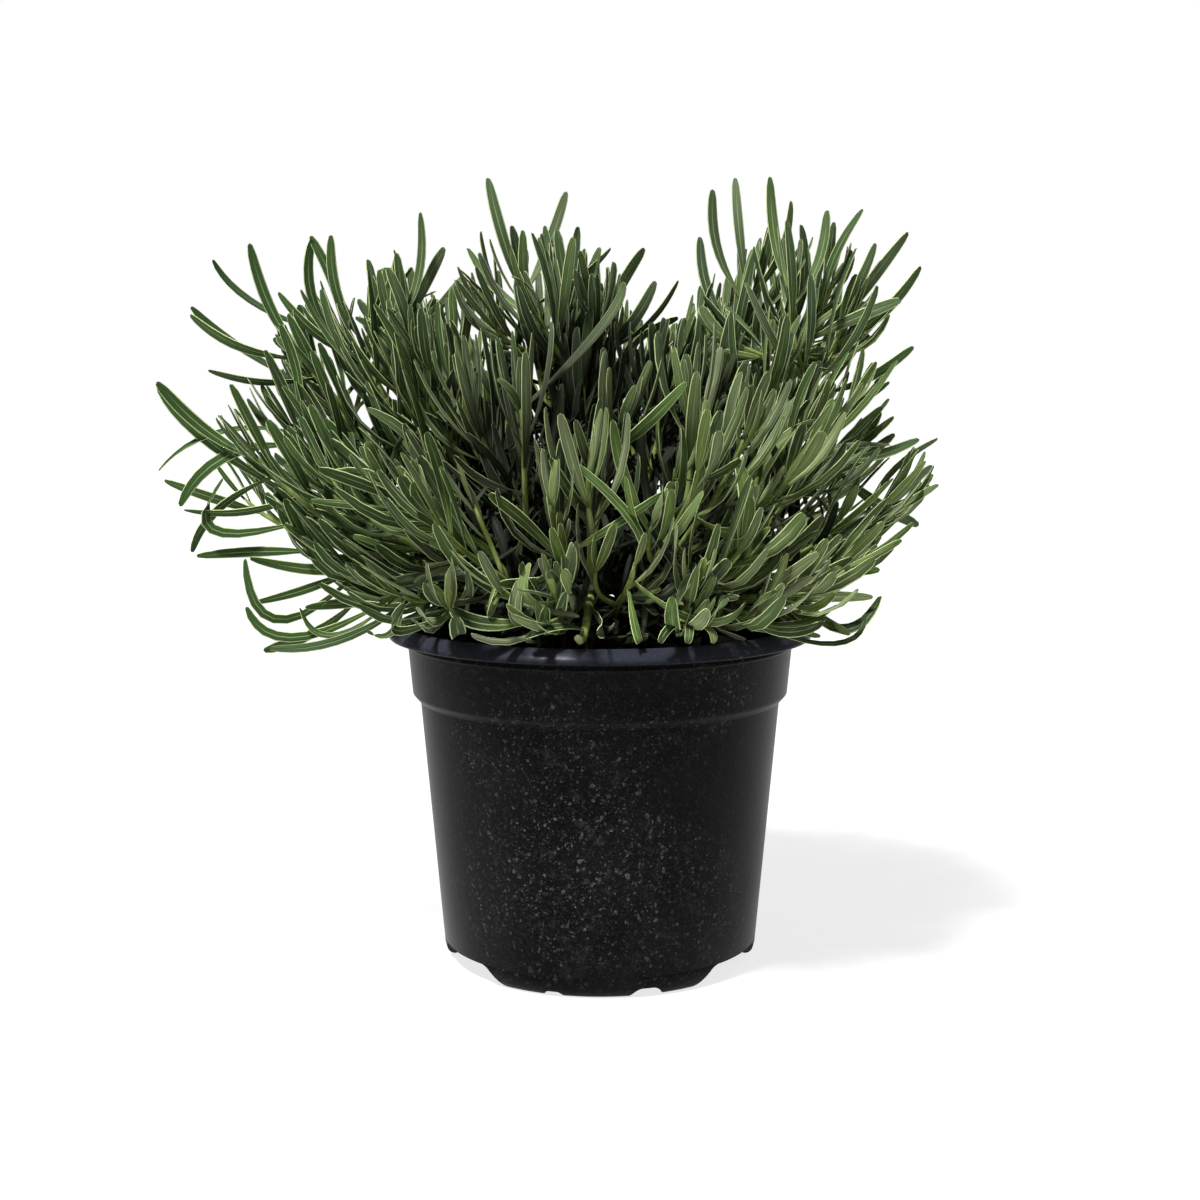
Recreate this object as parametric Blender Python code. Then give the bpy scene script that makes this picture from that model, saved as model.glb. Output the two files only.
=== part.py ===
"""Lavender in a round black nursery pot. Metres, +Z up; the origin is the middle of the pot's flat base."""

import math
import random

import bpy
import bmesh
from mathutils import Matrix, Vector
from mathutils.bvhtree import BVHTree

MM = 0.001
SEED = 20
GAP = 0.3 * MM  # kept between two pieces that rest on each other

# Pot
POT_SEGMENTS = 48
SHARP_ANGLE = 35  # degrees between two faces from which their edge stays sharp
LIP_RADIUS = 95 * MM
LIP_BOTTOM = 146.8 * MM
RIM_RADIUS = 90 * MM
RIM_TOP = 153 * MM
COLLAR_TOP_RADIUS = 86.6 * MM
COLLAR_RADIUS = 84.4 * MM
COLLAR_BOTTOM = 121.7 * MM
WALL_TOP_RADIUS = 81 * MM
WALL_TOP = 118 * MM
WALL_FOOT_RADIUS = 71.1 * MM
WALL_FOOT = 6.5 * MM
FOOT_RADIUS = 67 * MM
WALL = 1.4 * MM
CHANNEL_HEIGHT = 9.8 * MM
CHANNEL_INNER = 34 * MM
PAD_RADIUS = 30 * MM
NOTCH_HEIGHT = 8.8 * MM
NOTCH_TIMES = 3
WIDE_NOTCH = (60, 40 * MM)  # degrees from the front, width
SMALL_NOTCHES = ((-17, 11 * MM), (17, 11 * MM))
SMALL_NOTCH_HEIGHT = 4 * MM
DRAIN_HOLES = 6
DRAIN_RADIUS = 3.5 * MM
DRAIN_RING = 49 * MM
DRAIN_SEGMENTS = 16
DRAIN_DEPTH = 8 * MM  # length of a drain hole's cutter
ARCH_SHARE = 0.55  # how far down from its top a wide notch's corner is rounded
ARCH_SEGMENTS = 4
CUTTER_DEPTH = 30 * MM  # how far a notch's cutter reaches through the wall
CUTTER_FOOT = -5 * MM  # height of its low edge, below the pot
CUTTER_OUT = 5 * MM  # how far outside the foot its middle is

# Soil
SOIL_TOP = 140 * MM
SOIL_FLAT = 72 * MM  # radius of the level middle
SOIL_EDGE_DROP = 2.5 * MM

# Stems
MOST_FOOT_RADIUS = 66 * MM
FOOT_SHARE = 0.36  # how far out a stem leaves the soil, as a share of its tip's radius
FOOT_SPACING = 10 * MM
FOOT_SHIFT = 2 * MM  # moves each foot a little, each in another direction
SHIFT_TURN = 2.4  # radians from one foot's direction to the next
SPACING_ROUNDS = 60
WOOD_HALF = 1.8 * MM  # half the side of the square stem at the soil
SHOOT_HALF = 1.3 * MM  # half the side where a side shoot starts
TIP_HALF = 0.9 * MM
STEM_SPARE = 0.8 * MM  # kept clear round a stem while its way is chosen
SIDE_SHARE = 0.42  # where a side shoot leaves its stem, as a share of the stem
BARE_SHARE = 0.3  # share of a stem that carries no leaves
PAIR_STEPS = (5 * MM, 20 * MM, 41 * MM, 66 * MM)  # leaf pairs, measured back from the tip
SIDE_PAIRS = 3
BARE_ABOVE = 6 * MM  # least height of a leaf pair above the bare part
SIDE_START = 7 * MM  # length of a side shoot before its first ring
LONGEST_STRETCH = 24 * MM  # longest stretch of stem without a ring
TUBE_STEPS = 10  # stretches of the tube that stands for a stem while its way is chosen
STEM_TRIES = 90
FREEDOM_TRIES = 60  # tries until the freedom is 1
SIDE_TRIES = 200
SIDE_STEPS = (5, 0.04)  # places tried further up the stem, and the share between two
SIDE_STEPS_DOWN = (3, 0.06)  # the same further down
NODE_CLEAR = 4 * MM  # kept between a side shoot and a leaf pair
FREE_FROM = 12 * MM  # length from which a side shoot is clear of its own stem too
BEST_FACE_TRIES = 100  # tries on the best side face before the second best

# Leaves
LEAF_LENGTH = 46 * MM
LEAF_WIDTH = 5.6 * MM
LEAF_THICKNESS = 0.9 * MM
LEAF_REACH = (26 * MM, 66 * MM)  # shortest and longest leaf that grows to a placed tip
LEAF_TRIES = 12
OPENING = 14  # degrees between the youngest pair's leaves and their shoot
OPENING_STEP = 9  # degrees added from one pair to the next older one
OUTWARD_GAIN = 12 * MM  # how much a placed leaf gains when it grows straight away from its stem
OUTLINE_CHOICES = 14  # places tried for a leaf with a placed tip

# Tips of each stem in millimetres, the stem's own first and then its side shoots'
STEMS = (
    ((-35, 10, 303), (-50, 25, 283)),
    ((-10, 20, 297), (5, 35, 280)),
    ((-80, 40, 277), (-60, 75, 262)),
    ((-90, 0, 290), (-105, -10, 275)),
    ((-135, 15, 276), (-143, 55, 262)),
    ((-135, -15, 241), (-150, -30, 230)),
    ((-165, 25, 207), (-130, -40, 193)),
    ((-114, -45, 220),),
    ((-108, -22, 170),),
    ((-70, -72, 208), (-88, -55, 217)),
    ((-56, -20, 252), (-34, -42, 250)),
    ((-20, -78, 212), (-18, -86, 175)),
    ((-5, -80, 225), (8, -55, 242)),
    ((40, -86, 226), (37, -58, 252)),
    ((60, -68, 240), (80, -58, 222)),
    ((58, -82, 197), (38, -88, 178)),
    ((36, 12, 272), (52, 35, 277)),
    ((66, 8, 306), (60, 42, 280)),
    ((107, -5, 286), (98, 28, 282)),
    ((108, -25, 250), (120, 20, 233)),
    ((130, -10, 212), (130, 28, 187)),
    ((102, -45, 182), (84, -68, 176)),
    ((14, -88, 188),),
    ((-44, -82, 180),),
    ((-20, 90, 275), (10, 105, 250)),
    ((40, 85, 280), (70, 98, 245)),
    ((-68, 103, 238), (-98, 88, 214)),
    ((92, 72, 250), (115, 82, 205)),
    ((0, 58, 296),),
    ((-30, 125, 206), (20, 132, 196)),
    ((62, 122, 202), (98, 106, 178)),
    ((-108, 62, 190), (-78, 108, 172)),
)

# Tips of the leaves that give the plant its outline, in millimetres
OUTER_LEAVES = (
    (-185, 15, 290), (-190, -30, 260), (-200, 20, 215), (-180, -30, 205), (-175, -30, 185),
    (-170, -20, 265), (-150, -40, 185), (-145, -40, 145), (-150, -35, 165), (-125, -50, 165),
    (-130, 15, 325), (-120, 10, 325), (-145, 15, 300), (-140, -10, 285), (-180, 50, 315),
    (-165, 60, 325), (-105, 20, 315), (-90, 0, 315), (-80, 10, 335), (-70, 15, 320),
    (-60, 20, 320), (-50, 10, 350), (-40, 20, 330), (-25, 20, 330), (-15, 20, 345),
    (-10, 25, 330), (0, 15, 320), (5, 20, 320), (20, 20, 320), (25, 15, 305),
    (35, 10, 305), (45, 20, 325), (50, 10, 345), (60, 10, 350), (75, 5, 350),
    (85, 10, 340), (90, 15, 330), (100, 0, 335), (115, -5, 335), (120, -10, 320),
    (135, -5, 325), (140, -10, 310), (130, -20, 295), (135, -25, 275), (125, -25, 260),
    (140, -15, 235), (150, -5, 235), (140, -10, 210), (145, -5, 210), (145, 10, 195),
    (120, -40, 180), (115, -55, 170), (105, -60, 155), (-70, -80, 240), (-75, -85, 220),
    (-60, -70, 230), (-45, -80, 215), (-40, -95, 180), (-20, -90, 230), (-10, -85, 245),
    (5, -85, 245), (55, -100, 230), (55, -100, 175), (35, -80, 260),
)  # fmt: skip


def clear_scene():
    """Removes every object that the session starts with."""
    for obj in list(bpy.data.objects):
        bpy.data.objects.remove(obj)


def plain_material(name, colour, roughness):
    """A material of one colour."""
    material = bpy.data.materials.new(name)
    material.use_nodes = True
    shader = material.node_tree.nodes["Principled BSDF"]
    shader.inputs["Base Color"].default_value = (*colour, 1)
    shader.inputs["Roughness"].default_value = roughness
    shader.inputs["Metallic"].default_value = 0
    material.diffuse_color = (*colour, 1)
    return material


def add_object(name, mesh, material):
    """Puts a mesh into the scene as an object with one material."""
    obj = bpy.data.objects.new(name, mesh)
    bpy.context.scene.collection.objects.link(obj)
    mesh.materials.append(material)
    return obj


# ---------------------------------------------------------------- pot and soil


def turned(name, profile, material):
    """A solid turned round Z from a closed run of (radius, height) that starts and ends on the axis."""
    mesh = bpy.data.meshes.new(name)
    shape = bmesh.new()
    points = [shape.verts.new((0, -radius, height)) for radius, height in profile]
    edges = [shape.edges.new(pair) for pair in zip(points, points[1:])]
    bmesh.ops.spin(
        shape,
        geom=points + edges,
        axis=(0, 0, 1),
        cent=(0, 0, 0),
        steps=POT_SEGMENTS,
        angle=math.tau,
        use_merge=True,
    )
    bmesh.ops.remove_doubles(shape, verts=shape.verts[:], dist=MM / 50)
    bmesh.ops.recalc_face_normals(shape, faces=shape.faces[:])
    shape.to_mesh(mesh)
    shape.free()
    mesh.shade_smooth()
    mesh.set_sharp_from_angle(angle=math.radians(SHARP_ANGLE))
    return add_object(name, mesh, material)


def pot_outside():
    """(radius, height) from the middle of the base, under the pot and up its outside to the rim's top."""
    channel_outer = FOOT_RADIUS - 0.4 * MM
    return [
        (0, 0),
        (PAD_RADIUS, 0),
        (PAD_RADIUS + 1 * MM, 1 * MM),
        (CHANNEL_INNER - 1 * MM, CHANNEL_HEIGHT - 1 * MM),
        (CHANNEL_INNER, CHANNEL_HEIGHT),
        (channel_outer, CHANNEL_HEIGHT),
        (channel_outer, 4 * MM),
        (FOOT_RADIUS - 1.6 * MM, 0),
        (FOOT_RADIUS, 0),
        (FOOT_RADIUS + 1.6 * MM, 1.2 * MM),
        (FOOT_RADIUS + 3.2 * MM, 3.4 * MM),
        (WALL_FOOT_RADIUS, WALL_FOOT),
        (WALL_TOP_RADIUS, WALL_TOP),
        (COLLAR_RADIUS, COLLAR_BOTTOM),
        (COLLAR_TOP_RADIUS + 0.3 * MM, LIP_BOTTOM + 3 * MM),
        (LIP_RADIUS - 1.5 * MM, LIP_BOTTOM - 0.2 * MM),
        (LIP_RADIUS - 0.4 * MM, LIP_BOTTOM),
        (LIP_RADIUS, LIP_BOTTOM + 0.8 * MM),
        (LIP_RADIUS - 0.8 * MM, LIP_BOTTOM + 2.6 * MM),
        (RIM_RADIUS + 0.8 * MM, RIM_TOP - 0.6 * MM),
        (RIM_RADIUS, RIM_TOP),
    ]


def pot_inside(gap=0.0):
    """(radius, height) down the pot's inside from the rim's top; a gap above 0 gives what fits in it."""
    return [
        (RIM_RADIUS - 0.6 * MM, RIM_TOP),
        (RIM_RADIUS - 1.4 * MM, RIM_TOP - 0.8 * MM),
        (COLLAR_TOP_RADIUS - WALL - gap, LIP_BOTTOM - 2 * MM),
        (COLLAR_RADIUS - WALL - gap, COLLAR_BOTTOM),
        (WALL_TOP_RADIUS - WALL - gap, WALL_TOP),
        (WALL_FOOT_RADIUS - 0.4 * MM - WALL - gap, CHANNEL_HEIGHT + 2.6 * MM + gap),
        (WALL_FOOT_RADIUS - 1.6 * MM - WALL - gap, CHANNEL_HEIGHT + WALL + gap),
        (CHANNEL_INNER - 0.6 * MM - gap, CHANNEL_HEIGHT + WALL + gap),
        (PAD_RADIUS - 0.4 * MM - gap, WALL + gap),
        (0, WALL + gap),
    ]


def hidden_tool(name, shape):
    """The object of a cutter, which is used up and not shown."""
    mesh = bpy.data.meshes.new(name)
    shape.to_mesh(mesh)
    shape.free()
    obj = bpy.data.objects.new(name, mesh)
    bpy.context.scene.collection.objects.link(obj)
    obj.hide_render = True
    obj.display_type = "WIRE"
    return obj


def notch_cutter(name, width, height, arched):
    """A block that stands on its low edge below the pot, with its top corners cut off when arched."""
    shape = bmesh.new()
    tall = height - CUTTER_FOOT
    stretch = Matrix.Diagonal((width, CUTTER_DEPTH, tall, 1))
    matrix = Matrix.Translation((0, 0, CUTTER_FOOT + tall / 2)) @ stretch
    bmesh.ops.create_cube(shape, size=1, matrix=matrix)
    if arched:
        top_corners = []
        for edge in shape.edges:
            a, b = (vert.co for vert in edge.verts)
            if a.z > 0 and b.z > 0 and abs(a.x - b.x) < MM:
                top_corners.append(edge)
        bmesh.ops.bevel(
            shape,
            geom=top_corners,
            offset=height * ARCH_SHARE,
            segments=ARCH_SEGMENTS,
            profile=0.5,
            affect="EDGES",
        )
    return hidden_tool(name, shape)


def drain_cutter(name):
    """A short round bar for one drain hole."""
    shape = bmesh.new()
    bmesh.ops.create_cone(
        shape,
        cap_ends=True,
        segments=DRAIN_SEGMENTS,
        radius1=DRAIN_RADIUS,
        radius2=DRAIN_RADIUS,
        depth=DRAIN_DEPTH,
    )
    return hidden_tool(name, shape)


def cut(obj, tool):
    """Takes the tool's shape out of the object."""
    boolean = obj.modifiers.new(tool.name, "BOOLEAN")
    boolean.operation = "DIFFERENCE"
    boolean.solver = "EXACT"
    boolean.object = tool


def place_round(tool, degrees, radius, height=0.0):
    """Stands a cutter at an angle from the front (-Y), facing the pot's axis."""
    turn = Matrix.Rotation(math.radians(degrees), 4, "Z")
    tool.matrix_world = turn @ Matrix.Translation((0, -radius, height))


def build_pot():
    """The pot: a turned moulding with notches in its foot and drain holes in its channel."""
    plastic = plain_material("black_plastic", (0.012, 0.012, 0.013), 0.5)
    pot = turned("pot", pot_outside() + pot_inside(), plastic)
    for third in range(NOTCH_TIMES):
        start = 360 / NOTCH_TIMES * third
        angle, width = WIDE_NOTCH
        tool = notch_cutter(f"wide_notch_{third}", width, NOTCH_HEIGHT, arched=True)
        place_round(tool, start + angle, FOOT_RADIUS + CUTTER_OUT)
        cut(pot, tool)
        for side, (angle, width) in enumerate(SMALL_NOTCHES):
            name = f"small_notch_{third}_{side}"
            tool = notch_cutter(name, width, SMALL_NOTCH_HEIGHT, arched=False)
            place_round(tool, start + angle, FOOT_RADIUS + CUTTER_OUT)
            cut(pot, tool)
    for index in range(DRAIN_HOLES):
        tool = drain_cutter(f"drain_{index}")
        place_round(tool, 360 / DRAIN_HOLES * index, DRAIN_RING, CHANNEL_HEIGHT)
        cut(pot, tool)
    return pot


def build_soil():
    """The root ball: it fills the pot's inside up to the soil's level and slopes down at its edge."""
    earth = plain_material("potting_soil", (0.035, 0.022, 0.015), 0.95)
    fitting = pot_inside(GAP)
    upper, lower = fitting[2], fitting[3]
    share = (upper[1] - SOIL_TOP + SOIL_EDGE_DROP) / (upper[1] - lower[1])
    edge_radius = upper[0] + (lower[0] - upper[0]) * share
    profile = [(0, SOIL_TOP), (SOIL_FLAT, SOIL_TOP), (edge_radius, SOIL_TOP - SOIL_EDGE_DROP)]
    return turned("potting_soil", profile + fitting[3:], earth)


# ---------------------------------------------------------------- stems and leaves


class Body:
    """A closed mesh that grows ring by ring from four-sided rings."""

    def __init__(self):
        self.points = []
        self.faces = []

    def ring(self, corners):
        """Adds a ring's four corners and gives their numbers."""
        start = len(self.points)
        self.points.extend(corners)
        return [start + k for k in range(4)]

    def point(self, place):
        """Adds a point and gives its number."""
        self.points.append(place)
        return len(self.points) - 1

    def side(self, low, high, k):
        """The side face between corner k and the next one, as its four corners."""
        after = (k + 1) % 4
        return [low[k], low[after], high[after], high[k]]

    def walls(self, low, high, opened=()):
        """Joins two rings by their side faces, except the opened ones."""
        for k in range(4):
            if k not in opened:
                self.faces.append(self.side(low, high, k))

    def close_at(self, ring, place):
        """Closes the body from a ring to a point."""
        tip = self.point(place)
        for k in range(4):
            self.faces.append([ring[k], ring[(k + 1) % 4], tip])

    def closed_faces(self):
        """The faces with every quad cut in two, so that no face is bent."""
        cut_faces = []
        for face in self.faces:
            if len(face) == 4:
                a, b, c, d = face
                cut_faces.extend([[a, b, c], [a, c, d]])
            else:
                cut_faces.append(face)
        return cut_faces


def corners(centre, across, up, half_across, half_up):
    """A ring's corners, anticlockwise for someone who looks back from the tip."""
    return [
        centre - across * half_across - up * half_up,
        centre + across * half_across - up * half_up,
        centre + across * half_across + up * half_up,
        centre - across * half_across + up * half_up,
    ]


class Path:
    """A cubic curve with its length and with axes that don't twist."""

    STEPS = 28

    def __init__(self, start, handle, other_handle, end, across):
        self.places = []
        for step in range(self.STEPS + 1):
            t = step / self.STEPS
            s = 1 - t
            self.places.append(
                start * s**3 + handle * (3 * s * s * t) + other_handle * (3 * s * t * t) + end * t**3
            )
        self.lengths = [0.0]
        for a, b in zip(self.places, self.places[1:]):
            self.lengths.append(self.lengths[-1] + (b - a).length)
        self.length = self.lengths[-1]
        self.axes = []
        for step in range(self.STEPS + 1):
            ahead = self.places[min(step + 1, self.STEPS)] - self.places[max(step - 1, 0)]
            along = ahead.normalized()
            across = (across - along * across.dot(along)).normalized()
            self.axes.append((across.copy(), along.cross(across), along))

    def at(self, distance):
        """(place, across, up, along) at a distance from the start."""
        distance = min(max(distance, 0.0), self.length)
        step = 1
        while step < self.STEPS and self.lengths[step] < distance:
            step += 1
        share = (distance - self.lengths[step - 1]) / (self.lengths[step] - self.lengths[step - 1])
        place = self.places[step - 1].lerp(self.places[step], share)
        before, after = self.axes[step - 1], self.axes[step]
        along = before[2].lerp(after[2], share).normalized()
        across = before[0].lerp(after[0], share)
        across = (across - along * across.dot(along)).normalized()
        return place, across, along.cross(across), along


class Obstacles:
    """The shapes that a new stem or leaf has to keep clear of."""

    def __init__(self):
        self.shapes = []

    def add(self, points, faces, owner=None):
        """Adds a shape, with the stem that owns it."""
        self.shapes.append((*self.shape(points, faces), owner))

    def shape(self, points, faces):
        """The shape's search tree and its lowest and highest corner."""
        low = [min(p[i] for p in points) for i in range(3)]
        high = [max(p[i] for p in points) for i in range(3)]
        return BVHTree.FromPolygons(points, faces), low, high

    def touched(self, points, faces, but=None):
        """Whether the shape touches any other, leaving out those of one owner."""
        tree, low, high = self.shape(points, faces)
        for other, other_low, other_high, owner in self.shapes:
            if but is not None and owner is but:
                continue
            if any(low[i] > other_high[i] or high[i] < other_low[i] for i in range(3)):
                continue
            if tree.overlap(other):
                return True
        return False


def tube(rings):
    """Points and faces round a run of rings, with both ends closed."""
    points = [corner for ring in rings for corner in ring]
    faces = [[3, 2, 1, 0]]
    for index in range(len(rings) - 1):
        low = index * 4
        for k in range(4):
            after = (k + 1) % 4
            faces.append([low + k, low + after, low + 4 + after, low + 4 + k])
    last = 4 * (len(rings) - 1)
    faces.append([last, last + 1, last + 2, last + 3])
    return points, faces


def path_tube(path, first, half_low, half_high, spare):
    """A closed tube round a path from a distance on, wider than the stem by the spare."""
    rings = []
    for step in range(TUBE_STEPS + 1):
        share = step / TUBE_STEPS
        place, across, up, _ = path.at(first + (path.length - first) * share)
        half = half_low + (half_high - half_low) * share + spare
        rings.append(corners(place, across, up, half, half))
    return tube(rings)


class Leaf:
    """One leaf from a stem's side face to its tip: a flat blade with two sections."""

    SECTIONS = ((0.3, 0.82), (0.68, 1.0))  # share of the length, share of the width

    def __init__(self, face, half, tip, across, bend, width):
        self.foot, lateral, _, along = face
        self.foot_ring = corners(self.foot, lateral, along, half + GAP, half + GAP)
        self.tip = tip
        self.middle = (self.foot + tip) / 2 + bend
        self.across = across
        self.width = width

    def place(self, t):
        """The middle line's place at a share of its length."""
        s = 1 - t
        return self.foot * (s * s) + self.middle * (2 * s * t) + self.tip * (t * t)

    def section(self, t, share, spare=0.0):
        """The blade's ring at a share of its length, at a share of its full width."""
        along = ((self.middle - self.foot) * (1 - t) + (self.tip - self.middle) * t).normalized()
        across = (self.across - along * self.across.dot(along)).normalized()
        up = along.cross(across)
        thick = LEAF_THICKNESS / 2 + spare
        return corners(self.place(t), across, up, self.width * share / 2 + spare, thick)

    def outline(self, from_foot, spare=0.0):
        """The leaf as a closed tube, from the stem or only from a tenth of its length on."""
        first = self.foot_ring if from_foot else self.section(0.1, 0.45, spare)
        stations = (*self.SECTIONS, (1.0, 0.1))
        return tube([first] + [self.section(t, share, spare) for t, share in stations])

    def is_clear(self, obstacles, stem):
        """Whether the blade is clear of everything, and its foot clear of all but its own stem."""
        if obstacles.touched(*self.outline(False, GAP)):
            return False
        return not obstacles.touched(*self.outline(True, GAP), but=stem)


class Shoot:
    """A stem or side shoot: its path, its leaf pairs, and the side shoots that leave it."""

    def __init__(self, path, half_foot, pairs, bare):
        self.path = path
        self.half_foot = half_foot
        self.nodes = []
        for back in PAIR_STEPS[:pairs]:
            distance = path.length - back
            if distance > bare * path.length + BARE_ABOVE:
                self.nodes.insert(0, distance)
        self.leaves = {}  # (node, side): Leaf
        self.branch = None  # (distance, side, Shoot)

    def half(self, distance):
        """Half the stem's side at a distance."""
        return self.half_foot + (TIP_HALF - self.half_foot) * distance / self.path.length

    def turn(self, node):
        """Which two sides carry the node's pair: pairs cross each other up the stem."""
        return (0, 2) if node % 2 == 0 else (1, 3)

    def face(self, distance, side):
        """(centre, lateral, outward, along) of the stem's side face at a distance."""
        place, across, up, along = self.path.at(distance)
        outward = (-up, across, up, -across)[side]
        lateral = (across, up, -across, -up)[side]
        return place + outward * self.half(distance), lateral, outward, along

    def slots(self):
        """Every (node, side) with its face that has no leaf yet."""
        for node, distance in enumerate(self.nodes):
            for side in self.turn(node):
                if (node, side) not in self.leaves:
                    yield node, side, self.face(distance, side)

    def stations(self):
        """(distance, side shoot's side or None, node number or None) of each stretch with side growth."""
        found = [(distance, None, node) for node, distance in enumerate(self.nodes)]
        if self.branch:
            found.append((self.branch[0], self.branch[1], None))
        return sorted(found, key=lambda station: station[0])

    def grow(self, body, start_ring, first):
        """Adds the shoot to a body, from a ring that is there already, with all that grows on it."""
        last = start_ring
        reached = first
        for distance, branch_side, node in self.stations():
            low = distance - self.half(distance)
            if low - reached > LONGEST_STRETCH:
                middle = self.add_ring(body, (low + reached) / 2)
                body.walls(last, middle)
                last = middle
            low_ring = self.add_ring(body, low)
            body.walls(last, low_ring)
            reached = distance + self.half(distance)
            high_ring = self.add_ring(body, reached)
            opened = self.open_sides(branch_side, node)
            body.walls(low_ring, high_ring, opened)
            for side in opened:
                quad = body.side(low_ring, high_ring, side)
                if node is None:
                    self.branch[2].grow_from(body, quad)
                else:
                    grow_leaf(body, quad, self.leaves[node, side])
            last = high_ring
        body.close_at(last, self.path.at(self.path.length)[0])

    def open_sides(self, branch_side, node):
        """The sides that a stretch leaves open for what grows there."""
        if node is None:
            return [branch_side]
        return [side for side in self.turn(node) if (node, side) in self.leaves]

    def grow_from(self, body, quad):
        """Grows a side shoot from the opened face of its stem."""
        first = self.add_ring(body, SIDE_START)
        body.walls(quad, first)
        self.grow(body, first, SIDE_START)

    def add_ring(self, body, distance):
        """Adds the stem's ring at a distance."""
        place, across, up, _ = self.path.at(distance)
        half = self.half(distance)
        return body.ring(corners(place, across, up, half, half))


def grow_leaf(body, quad, leaf):
    """Grows a leaf from the opened face of its stem."""
    last = quad
    for t, share in Leaf.SECTIONS:
        ring = body.ring(leaf.section(t, share))
        body.walls(last, ring)
        last = ring
    body.close_at(last, leaf.tip)


def feet_of(tips):
    """Where each stem leaves the soil: towards its tip, and clear of the other stems."""
    feet = []
    for index, tip in enumerate(tips):
        turn = index * SHIFT_TURN
        foot = Vector((tip.x, tip.y)) * FOOT_SHARE
        foot += Vector((math.cos(turn), math.sin(turn))) * FOOT_SHIFT
        feet.append(foot)
    for _ in range(SPACING_ROUNDS):
        for i, a in enumerate(feet):
            for b in feet[i + 1 :]:
                apart = b - a
                if apart.length < FOOT_SPACING:
                    push = apart.normalized() * (FOOT_SPACING - apart.length) / 2
                    a -= push
                    b += push
        for foot in feet:
            if foot.length > MOST_FOOT_RADIUS:
                foot *= MOST_FOOT_RADIUS / foot.length
    return [Vector((foot.x, foot.y, SOIL_TOP + GAP)) for foot in feet]


def stem_path(foot, tip, freedom, rng):
    """A stem's curve; the freedom, from 0 on, lets it rise higher and wander more."""
    chord = tip - foot
    up = Vector((0, 0, 1))
    wander = Vector((rng.uniform(-1, 1), rng.uniform(-1, 1), 0)) * (4 + 6 * freedom) * MM
    handle = foot + up * chord.length * (0.4 + 0.6 * freedom * rng.random()) + wander
    lean = (chord.normalized() * 0.62 + up * 0.38 * min(1, chord.z / chord.length * 1.5)).normalized()
    other = tip - lean * chord.length * 0.33 + wander
    turn = rng.uniform(0, math.pi / 2)
    return Path(foot, handle, other, tip, Vector((math.cos(turn), math.sin(turn), 0)))


def side_path(face, tip, rng):
    """A side shoot's curve from a stem's side face to its tip."""
    centre, lateral, outward, along = face
    chord = tip - centre
    handle = centre + (outward * 0.35 + along * 0.2) * chord.length
    lean = (chord.normalized() + Vector((0, 0, 0.5)) + along * 0.2).normalized()
    wander = Vector((rng.uniform(-1, 1), rng.uniform(-1, 1), rng.uniform(-1, 1))) * 3 * MM
    other = tip - lean * chord.length * 0.3 + wander
    return Path(centre, handle, other, tip, lateral)


def place_stems(obstacles, rng):
    """All the stems and side shoots, each clear of those before it."""
    tips = [[Vector(tip) * MM for tip in row] for row in STEMS]
    stems = []
    for row, foot in zip(tips, feet_of([row[0] for row in tips])):
        for attempt in range(STEM_TRIES):
            path = stem_path(foot, row[0], attempt / FREEDOM_TRIES, rng)
            if not obstacles.touched(*path_tube(path, 0, WOOD_HALF, TIP_HALF, STEM_SPARE)):
                break
        else:
            raise RuntimeError(f"no way for the stem to {row[0] / MM}")
        stem = Shoot(path, WOOD_HALF, len(PAIR_STEPS), BARE_SHARE)
        obstacles.add(*path_tube(path, 0, WOOD_HALF, TIP_HALF, STEM_SPARE), owner=stem)
        stems.append(stem)
    for stem, row in zip(stems, tips):
        for tip in row[1:]:
            add_side_shoot(stem, tip, obstacles, rng)
    return stems


def add_side_shoot(stem, tip, obstacles, rng):
    """Finds a clear way for a side shoot and adds it to its stem."""
    for attempt in range(SIDE_TRIES):
        up, down = (attempt % count * share for count, share in (SIDE_STEPS, SIDE_STEPS_DOWN))
        share = SIDE_SHARE + up - down
        distance = share * stem.path.length
        if min(abs(distance - node) for node in stem.nodes) < NODE_CLEAR:
            continue
        face_order = sorted(range(4), key=lambda side: -side_fit(stem, distance, side, tip))
        side = face_order[0 if attempt < BEST_FACE_TRIES else 1]
        path = side_path(stem.face(distance, side), tip, rng)
        if obstacles.touched(*path_tube(path, 0, SHOOT_HALF, TIP_HALF, STEM_SPARE), but=stem):
            continue
        if obstacles.touched(*path_tube(path, FREE_FROM, SHOOT_HALF, TIP_HALF, GAP)):
            continue
        shoot = Shoot(path, SHOOT_HALF, SIDE_PAIRS, BARE_SHARE)
        stem.branch = (distance, side, shoot)
        obstacles.add(*path_tube(path, 0, SHOOT_HALF, TIP_HALF, STEM_SPARE), owner=stem)
        return
    raise RuntimeError(f"no way for the side shoot to {tip / MM}")


def side_fit(stem, distance, side, tip):
    """How well a side face looks towards a tip, up to 1."""
    centre, _, outward, _ = stem.face(distance, side)
    return outward.dot((tip - centre).normalized())


def shoots_of(stem):
    """The stem and its side shoot, if it has one."""
    yield stem
    if stem.branch:
        yield stem.branch[2]


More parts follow.
